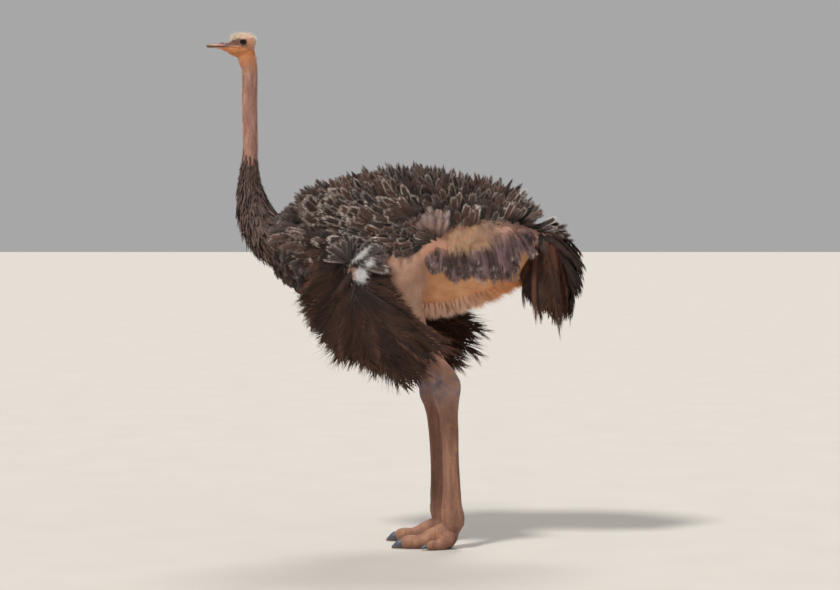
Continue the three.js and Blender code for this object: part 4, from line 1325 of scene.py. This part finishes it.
class Finish:
    """A material and the nodes behind its Principled shader. Its colours are screen colours, 0 to 255."""

    def __init__(self, name, **fixed):
        self.material = bpy.data.materials.new(name)
        self.material.use_nodes = True
        self.tree = self.material.node_tree
        self.shader = next(n for n in self.tree.nodes if n.type == "BSDF_PRINCIPLED")
        for socket, value in fixed.items():
            self.shader.inputs[socket.replace("_", " ")].default_value = value
        self.where = self.node("ShaderNodeTexCoord", {}, {}, "Object")

    def node(self, kind, settings, inputs, output=0):
        made = self.tree.nodes.new(kind)
        for key, value in settings.items():
            if key == "stops":
                elements = made.color_ramp.elements
                while len(elements) < len(value):
                    elements.new(0.5)
                for element, (place, colour) in zip(elements, value):
                    element.position, element.color = place, linear(colour)
            else:
                setattr(made, key, value)
        for key, value in inputs.items():
            if isinstance(value, Amount):
                self.tree.links.new(value.socket, made.inputs[key])
            else:
                made.inputs[key].default_value = value
        return Amount(self, made.outputs[output])

    def drawn(self, name):
        """A number written on the mesh."""
        return self.node("ShaderNodeAttribute", {"attribute_name": name}, {}, "Fac")

    def axis(self, letter):
        return self.node("ShaderNodeSeparateXYZ", {}, {"Vector": self.where}, letter)

    def vector(self, operation, first, second, output=0):
        return self.node("ShaderNodeVectorMath", {"operation": operation}, {0: first, 1: second}, output)

    def noise(self, scale, detail=3.0, rough=0.55, stretch=None, warp=0.0):
        where = self.vector("MULTIPLY", self.where, stretch) if stretch else self.where
        inputs = {"Vector": where, "Scale": scale, "Detail": detail, "Roughness": rough, "Distortion": warp}
        return self.node("ShaderNodeTexNoise", {}, inputs, "Fac")

    def cells(self, scale, feature="F1"):
        inputs = {"Vector": self.where, "Scale": scale, "Randomness": 1.0}
        return self.node("ShaderNodeTexVoronoi", {"feature": feature}, inputs, "Distance")

    def mix(self, factor, first, second):
        settings = {"data_type": "RGBA", "blend_type": "MIX"}
        first, second = [c if isinstance(c, Amount) else linear(c) for c in (first, second)]
        return self.node("ShaderNodeMix", settings, {0: factor, 6: first, 7: second}, 2)

    def ramp(self, factor, *stops):
        """stops are places and colours in turn."""
        settings = {"stops": list(zip(stops[::2], stops[1::2]))}
        return self.node("ShaderNodeValToRGB", settings, {"Fac": factor}, "Color")

    def raised(self, height, depth, strength):
        inputs = {"Height": height, "Distance": depth, "Strength": strength}
        return self.node("ShaderNodeBump", {}, inputs, "Normal")

    def feed(self, **sockets):
        for name, value in sockets.items():
            self.tree.links.new(value.socket, self.shader.inputs[name.replace("_", " ")])
        return self.material


def linear(screen_colour):
    """A screen colour, 0 to 255, as the light it stands for."""
    shares = [value / 255 for value in screen_colour]
    return (*(s / 12.92 if s <= 0.04045 else ((s + 0.055) / 1.055) ** 2.4 for s in shares), 1)


def skin_finish():
    f = Finish("bare_and_scaly_skin", Subsurface_Weight=0.06, Subsurface_Scale=0.01, Specular_IOR_Level=0.35)
    blotch, fine = f.noise(9.0, 4, 0.6), f.noise(170.0, 3, 0.6)
    pits = 1 - f.cells(210.0).rise(0.1, 0.4)
    specks = 1 - f.cells(150.0).rise(0.12, 0.24)
    skin_colour = f.ramp(blotch, 0.3, (146, 104, 92), 0.55, (174, 130, 114), 0.75, (190, 148, 130))
    thigh = f.ramp(blotch, 0.3, (150, 110, 92), 0.55, (180, 138, 116), 0.8, (206, 166, 142))
    thigh = f.mix(specks * 0.4, thigh, (232, 204, 186))
    # The belly's own tan skin, pushed towards orange as painted warm bounce light from the ground.
    belly = f.ramp(f.noise(14.0, 4, 0.6), 0.3, (196, 128, 84), 0.55, (216, 156, 112), 0.8, (228, 178, 138))
    face = f.ramp(f.noise(55.0, 4, 0.6), 0.3, (142, 88, 60), 0.5, (176, 116, 80), 0.75, (206, 152, 118))
    streaks = f.noise(60.0, 4, 0.65, (1.0, 1.0, 0.28))
    neck_colour = f.ramp(streaks, 0.25, (106, 70, 62), 0.5, (150, 106, 92), 0.72, (184, 142, 124))
    colour = f.mix(f.drawn("thigh"), skin_colour, thigh)
    colour = f.mix(f.drawn("warm"), colour, belly)
    for mark, strength, tone in (
        ("face", 0.85, face),
        ("neck", 0.85, neck_colour),
        ("throat", 0.9, f.ramp(fine, 0.3, (172, 100, 54), 0.7, (204, 136, 82))),
        ("lore", 0.9, f.ramp(fine, 0.3, (52, 29, 27), 0.7, (104, 68, 60))),
        ("mouth", 0.9, (84, 46, 42)),
        ("lid", 0.92, f.ramp(fine, 0.3, (58, 40, 38), 0.7, (128, 104, 98))),
        # painted shade on the skin that lies under the feathers
        ("dusky", 0.9, f.ramp(blotch, 0.3, (60, 44, 40), 0.7, (96, 76, 70))),
    ):
        colour = f.mix(f.drawn(mark) * strength, colour, tone)
    horny, plates = f.drawn("horny"), f.drawn("plates")
    small_height = f.cells(165.0, "DISTANCE_TO_EDGE").rise(0.0, 0.11)
    broad_height = f.drawn("phase").math("SINE").math("ABSOLUTE").rise(0.04, 0.4)
    scale_height = broad_height * plates + small_height * (1 - plates)
    leg_colour = f.ramp(
        f.noise(19.0, 5, 0.7, (1.0, 1.0, 0.2)),
        0.3, (110, 73, 58), 0.5, (146, 103, 84), 0.66, (172, 128, 98), 0.82, (178, 144, 132),
    )
    yellow = f.noise(16.0, 3, 0.6, (1.0, 1.0, 0.4)).rise(0.56, 0.72)
    leg_colour = f.mix(yellow * 0.6, leg_colour, (184, 138, 84))
    hock = f.ramp(f.noise(24.0, 3, 0.6), 0.36, (118, 116, 134), 0.5, (166, 136, 138), 0.66, (192, 148, 112))
    leg_colour = f.mix(f.drawn("lilac") * 0.85, leg_colour, hock)
    leg_colour = f.mix((1 - scale_height) * 0.42, leg_colour, (74, 46, 42))
    colour = f.mix(horny, colour, leg_colour)
    bare = (1 - horny) * (1 - f.drawn("face"))
    colour = f.mix(pits * bare * 0.14, colour, (128, 84, 70))
    # pale bristled crown, and a painted highlight on the brow ridge over the eye
    colour = f.mix(f.drawn("brow") * 0.7, colour, (222, 196, 176))
    wrinkle = f.noise(42.0, 5, 0.7, (1.0, 1.0, 2.2), 0.4)
    height = fine * 0.25 + wrinkle * 0.5 + pits * bare * 0.45 + scale_height * horny * 0.9
    rough = 0.62 - horny * 0.1 + fine * 0.12
    return f.feed(Base_Color=colour, Roughness=rough, Normal=f.raised(height, 0.0016, 0.75))


def feather_finish(name, root, body, rim, rim_from=0.55, tip_from=0.86):
    """root, body and rim are pairs of colours, for the darkest and the palest feather."""
    f = Finish(name, Specular_IOR_Level=0.3)
    edge, along, pale, tint = (f.drawn(mark) for mark in ("edge", "along", "pale", "tint"))
    cloud = f.noise(26.0, 3, 0.6)
    mixed = (tint * 0.6 + cloud * 0.4).rise(0.15, 0.85)
    colour = f.mix(along.rise(0.1, 0.6), f.mix(mixed, *root), f.mix(mixed, *body))
    rim_colour = f.mix(cloud.rise(0.35, 0.65), *rim)
    fringe = edge.rise(rim_from, 0.95).math("MAXIMUM", along.rise(tip_from, 1.03) * 0.8)
    colour = f.mix(fringe * along.rise(0.25, 0.8) * pale, colour, rim_colour)
    strand = f.noise(900.0, 2, 0.5)
    colour = f.mix(strand.rise(0.35, 0.7) * 0.1, colour, f.mix(0.5, colour, rim_colour))
    colour = f.mix(f.drawn("shaft") * 0.6, colour, (120, 102, 90))
    return f.feed(Base_Color=colour, Roughness=0.74 - strand * 0.2)


def hair_finish(name, light, dark):
    f = Finish(name, Specular_IOR_Level=0.3)
    tint, pale = f.drawn("tint"), f.drawn("pale")
    return f.feed(Base_Color=f.mix(tint, f.mix(pale, *light), dark), Roughness=0.6 + pale * 0.1)


def bill_finish():
    f = Finish("bill_horn", Specular_IOR_Level=0.5, Subsurface_Weight=0.05, Subsurface_Scale=0.004)
    along, height = f.axis("X"), f.axis("Z")
    grain = f.noise(90.0, 4, 0.6, (0.35, 1.4, 1.4))
    side = f.ramp(grain, 0.3, (112, 70, 62), 0.55, (150, 102, 88), 0.75, (178, 134, 116))
    under = f.ramp(grain, 0.3, (186, 106, 62), 0.7, (212, 142, 92))
    nail = f.ramp(grain, 0.3, (104, 82, 50), 0.7, (140, 114, 72))
    # Painted highlight: a paler pinkish band along the upper bill's upper side, laid over the horn's own pink
    # tone.
    pink_and_highlight = f.ramp(grain, 0.3, (158, 104, 92), 0.7, (194, 148, 134))
    crest = f.ramp(grain, 0.3, (92, 58, 52), 0.7, (138, 100, 88))
    colour = f.mix(height.rise(1.8478, 1.8505) * 0.8, side, pink_and_highlight)
    colour = f.mix(height.rise(1.8515, 1.8545), colour, crest)
    colour = f.mix(1 - height.rise(1.838, 1.843), colour, under)
    colour = f.mix(1 - along.rise(-0.672, -0.655), colour, nail)
    mouth = 1 - (height - 1.8452).math("ABSOLUTE").rise(0.0006, 0.0026)
    colour = f.mix(mouth * 0.85, colour, (70, 38, 36))
    dark = f.ramp(grain, 0.3, (64, 38, 35), 0.7, (104, 70, 62))
    base = f.mix(height.rise(1.8405, 1.846), (184, 114, 66), dark)
    colour = f.mix(along.rise(-0.634, -0.611), colour, base)
    bump = f.raised(grain + f.noise(400.0, 3, 0.6) * 0.4, 0.0005, 0.5)
    return f.feed(Base_Color=colour, Roughness=0.36 + grain * 0.25, Normal=bump)


def claw_finish():
    f = Finish("claw_horn", Specular_IOR_Level=0.5)
    grain = f.noise(120.0, 4, 0.6, (0.3, 1.5, 1.5))
    colour = f.ramp(grain, 0.3, (44, 46, 56), 0.55, (74, 78, 92), 0.8, (128, 124, 124))
    colour = f.mix(1 - f.axis("Z").rise(0.002, 0.014), colour, (104, 88, 76))
    return f.feed(Base_Color=colour, Roughness=0.34 + grain * 0.3, Normal=f.raised(grain, 0.0008, 0.6))


def eye_finish(side):
    f = Finish(
        "eye_left_finish" if side == LEFT else "eye_right_finish",
        Coat_Weight=0.3, Coat_Roughness=0.03, Specular_IOR_Level=0.08,
    )
    offset = f.vector("SUBTRACT", f.where, tuple((EYE * [1, side, 1] + TO_FRAME) * MM))
    away = f.vector("LENGTH", f.vector("MULTIPLY", offset, (1, 0, 1)), (0, 0, 0), "Value")
    spokes = f.noise(900.0, 3, 0.6)
    iris = f.ramp(spokes, 0.3, (20, 10, 6), 0.7, (46, 26, 15))
    colour = f.mix(away.rise(0.0046, 0.0052), PUPIL, iris)
    colour = f.mix(away.rise(0.0092, 0.0108), colour, (26, 14, 10))
    colour = f.mix(away.rise(0.0128, 0.0145), colour, (140, 112, 102))
    return f.feed(Base_Color=colour, Roughness=0.12 + spokes * 0.06)


# ---------------------------------------------------------------- the bird put together
def ride(obj, finish, slot, *nodes):
    obj.data.materials.clear()
    obj.data.materials.append(finish)
    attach(obj, "root")
    if nodes:
        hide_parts(*nodes)


skin = make_skin()
mark_skin(skin)
flesh = ["head", "upper_neck", "lower_neck", "trunk", "tail"]
for part in ("thigh", "hock", "shank", "big_toe", "small_toe", "wing"):
    flesh += [f"{part}_left", f"{part}_right"]
ride(skin, skin_finish(), "bare_skin", *flesh)
print("skin triangles", sum(len(p.vertices) - 2 for p in skin.data.polygons), flush=True)

horn = bill_finish()
for half, node in zip(make_bill(), ("upper_bill", "lower_bill")):
    ride(half, horn, "bill", node)
claw = claw_finish()
for side, name in ((LEFT, "left"), (RIGHT, "right")):
    ride(make_eye(side), eye_finish(side), "eye", f"eye_{name}")
    ride(make_claw(f"big_claw_sheath_{name}", BIG_CLAW, side), claw, "claw", f"big_claw_{name}")
    ride(make_claw(f"small_claw_sheath_{name}", SMALL_CLAW, side), claw, "claw", f"small_claw_{name}")

body_finish = feather_finish(
    "ruffled_body_feathers",
    [(10, 7, 6), (25, 16, 12)], [(22, 15, 14), (74, 48, 39)], [(214, 190, 174), (250, 238, 230)],
    rim_from=0.42, tip_from=0.86,
)
neck_finish = feather_finish(
    "short_neck_feathers",
    [(28, 19, 17), (50, 35, 31)], [(44, 31, 28), (88, 66, 60)], [(156, 130, 116), (200, 174, 156)],
)
# The red-brown rims are partly the plumes' own brown edges and partly a painted glow of light shining through
# their thin edges.
plume_finish = feather_finish(
    "soft_dark_plumes",
    [(13, 8, 6), (28, 17, 13)], [(25, 15, 12), (60, 37, 27)], [(96, 60, 44), (140, 100, 80)],
    rim_from=0.6, tip_from=0.9,
)
# The light brown rims are partly the plumes' own brown edges and partly a painted glow of light shining
# through their thin edges.
tail_finish = feather_finish(
    "brown_tail_plumes",
    [(30, 18, 13), (84, 46, 30)], [(34, 22, 17), (84, 50, 34)], [(120, 78, 50), (160, 112, 76)],
    rim_from=0.65,
)
fringe_finish = feather_finish(
    "lilac_flank_fringe",
    [(112, 80, 68), (148, 114, 102)], [(38, 25, 26), (104, 80, 82)], [(150, 112, 92), (222, 200, 186)],
    rim_from=0.75, tip_from=0.84,
)
down_finish = feather_finish(
    "pale_down",
    [(146, 100, 72), (66, 48, 50)], [(224, 176, 132), (136, 108, 112)], [(255, 234, 204), (244, 232, 230)],
    tip_from=0.3,
)
white_down_finish = hair_finish("white_down_hairs", [(196, 190, 190), (240, 238, 238)], (120, 110, 108))
belly_finish = hair_finish("belly_fringe_hairs", [(250, 166, 88), (255, 226, 204)], (150, 98, 68))
bristle_finish = hair_finish("cream_bristles", [(206, 184, 158), (240, 230, 212)], (34, 26, 24))
down_hair_finish = hair_finish("neck_down_hairs", [(158, 122, 102), (222, 198, 180)], (84, 66, 60))

body_feathers(body_finish)
neck_feathers(neck_finish)
for side in SIDES:
    wing_plumes(side, plume_finish)
tail_plumes(tail_finish)
tail_coverts(plume_finish)
flank_fringe(fringe_finish)
soft_down(down_finish, [
    (258, 1150, 60, 34, 150, -130, 44, 14, 0.42, 0.1),
    (326, 1184, 30, 14, 36, -110, 46, 12, 0.5, 0.42),
    (486, 1206, 30, 10, 30, -80, 40, 9, 0.4, 0.95),
])
belly_fringe(belly_finish)
knob_down(white_down_finish, body_finish)
neck_down(down_hair_finish)
head_bristles(bristle_finish)

# ---------------------------------------------------------------- floor, lights and camera
floor_finish = Finish("pale_floor", Roughness=0.9)
floor_tone = floor_finish.ramp(floor_finish.noise(3.0, 2), 0.0, (186, 182, 176), 1.0, (194, 190, 184))
mesh = bpy.data.meshes.new("floor")
mesh.from_pydata([(-40, -40, 0), (40, -40, 0), (40, 60, 0), (-40, 60, 0)], [], [(0, 1, 2, 3)])
mesh.materials.append(floor_finish.feed(Base_Color=floor_tone))
floor = shown("floor", mesh)


def soft_light(name, place, power, softness, colour):
    """A broad even light that shines from a place towards the bird."""
    lamp = bpy.data.lights.new(name, "SUN")
    lamp.energy, lamp.angle, lamp.color = power, math.radians(softness), colour
    holder = shown(name, lamp)
    holder.rotation_mode = "QUATERNION"
    holder.rotation_quaternion = Vector(place).to_track_quat("Z", "Y")


soft_light("key", (-0.5, -0.62, 1.0), 3.0, 9, (1.0, 0.965, 0.915))
soft_light("fill", (0.9, -0.9, 0.45), 0.35, 60, (0.94, 0.96, 1.0))
soft_light("rim", (0.1, 0.75, 1.0), 1.25, 20, (1.0, 0.96, 0.9))
world = bpy.data.worlds.new("studio")
bpy.context.scene.world = world
world.use_nodes = True
world.node_tree.nodes["Background"].inputs["Color"].default_value = (0.9, 0.9, 0.91, 1)
world.node_tree.nodes["Background"].inputs["Strength"].default_value = 0.43

lens = bpy.data.cameras.new("camera")
lens.sensor_width, lens.lens = 36.0, 104.2
lens.clip_end = 200
camera = shown("camera", lens)
camera.location = (0.0984, -9.0, 1.25)
camera.rotation_euler = (math.radians(90 - 2.05), 0, 0)
bpy.context.scene.camera = camera
bpy.context.scene.view_settings.view_transform = "Standard"
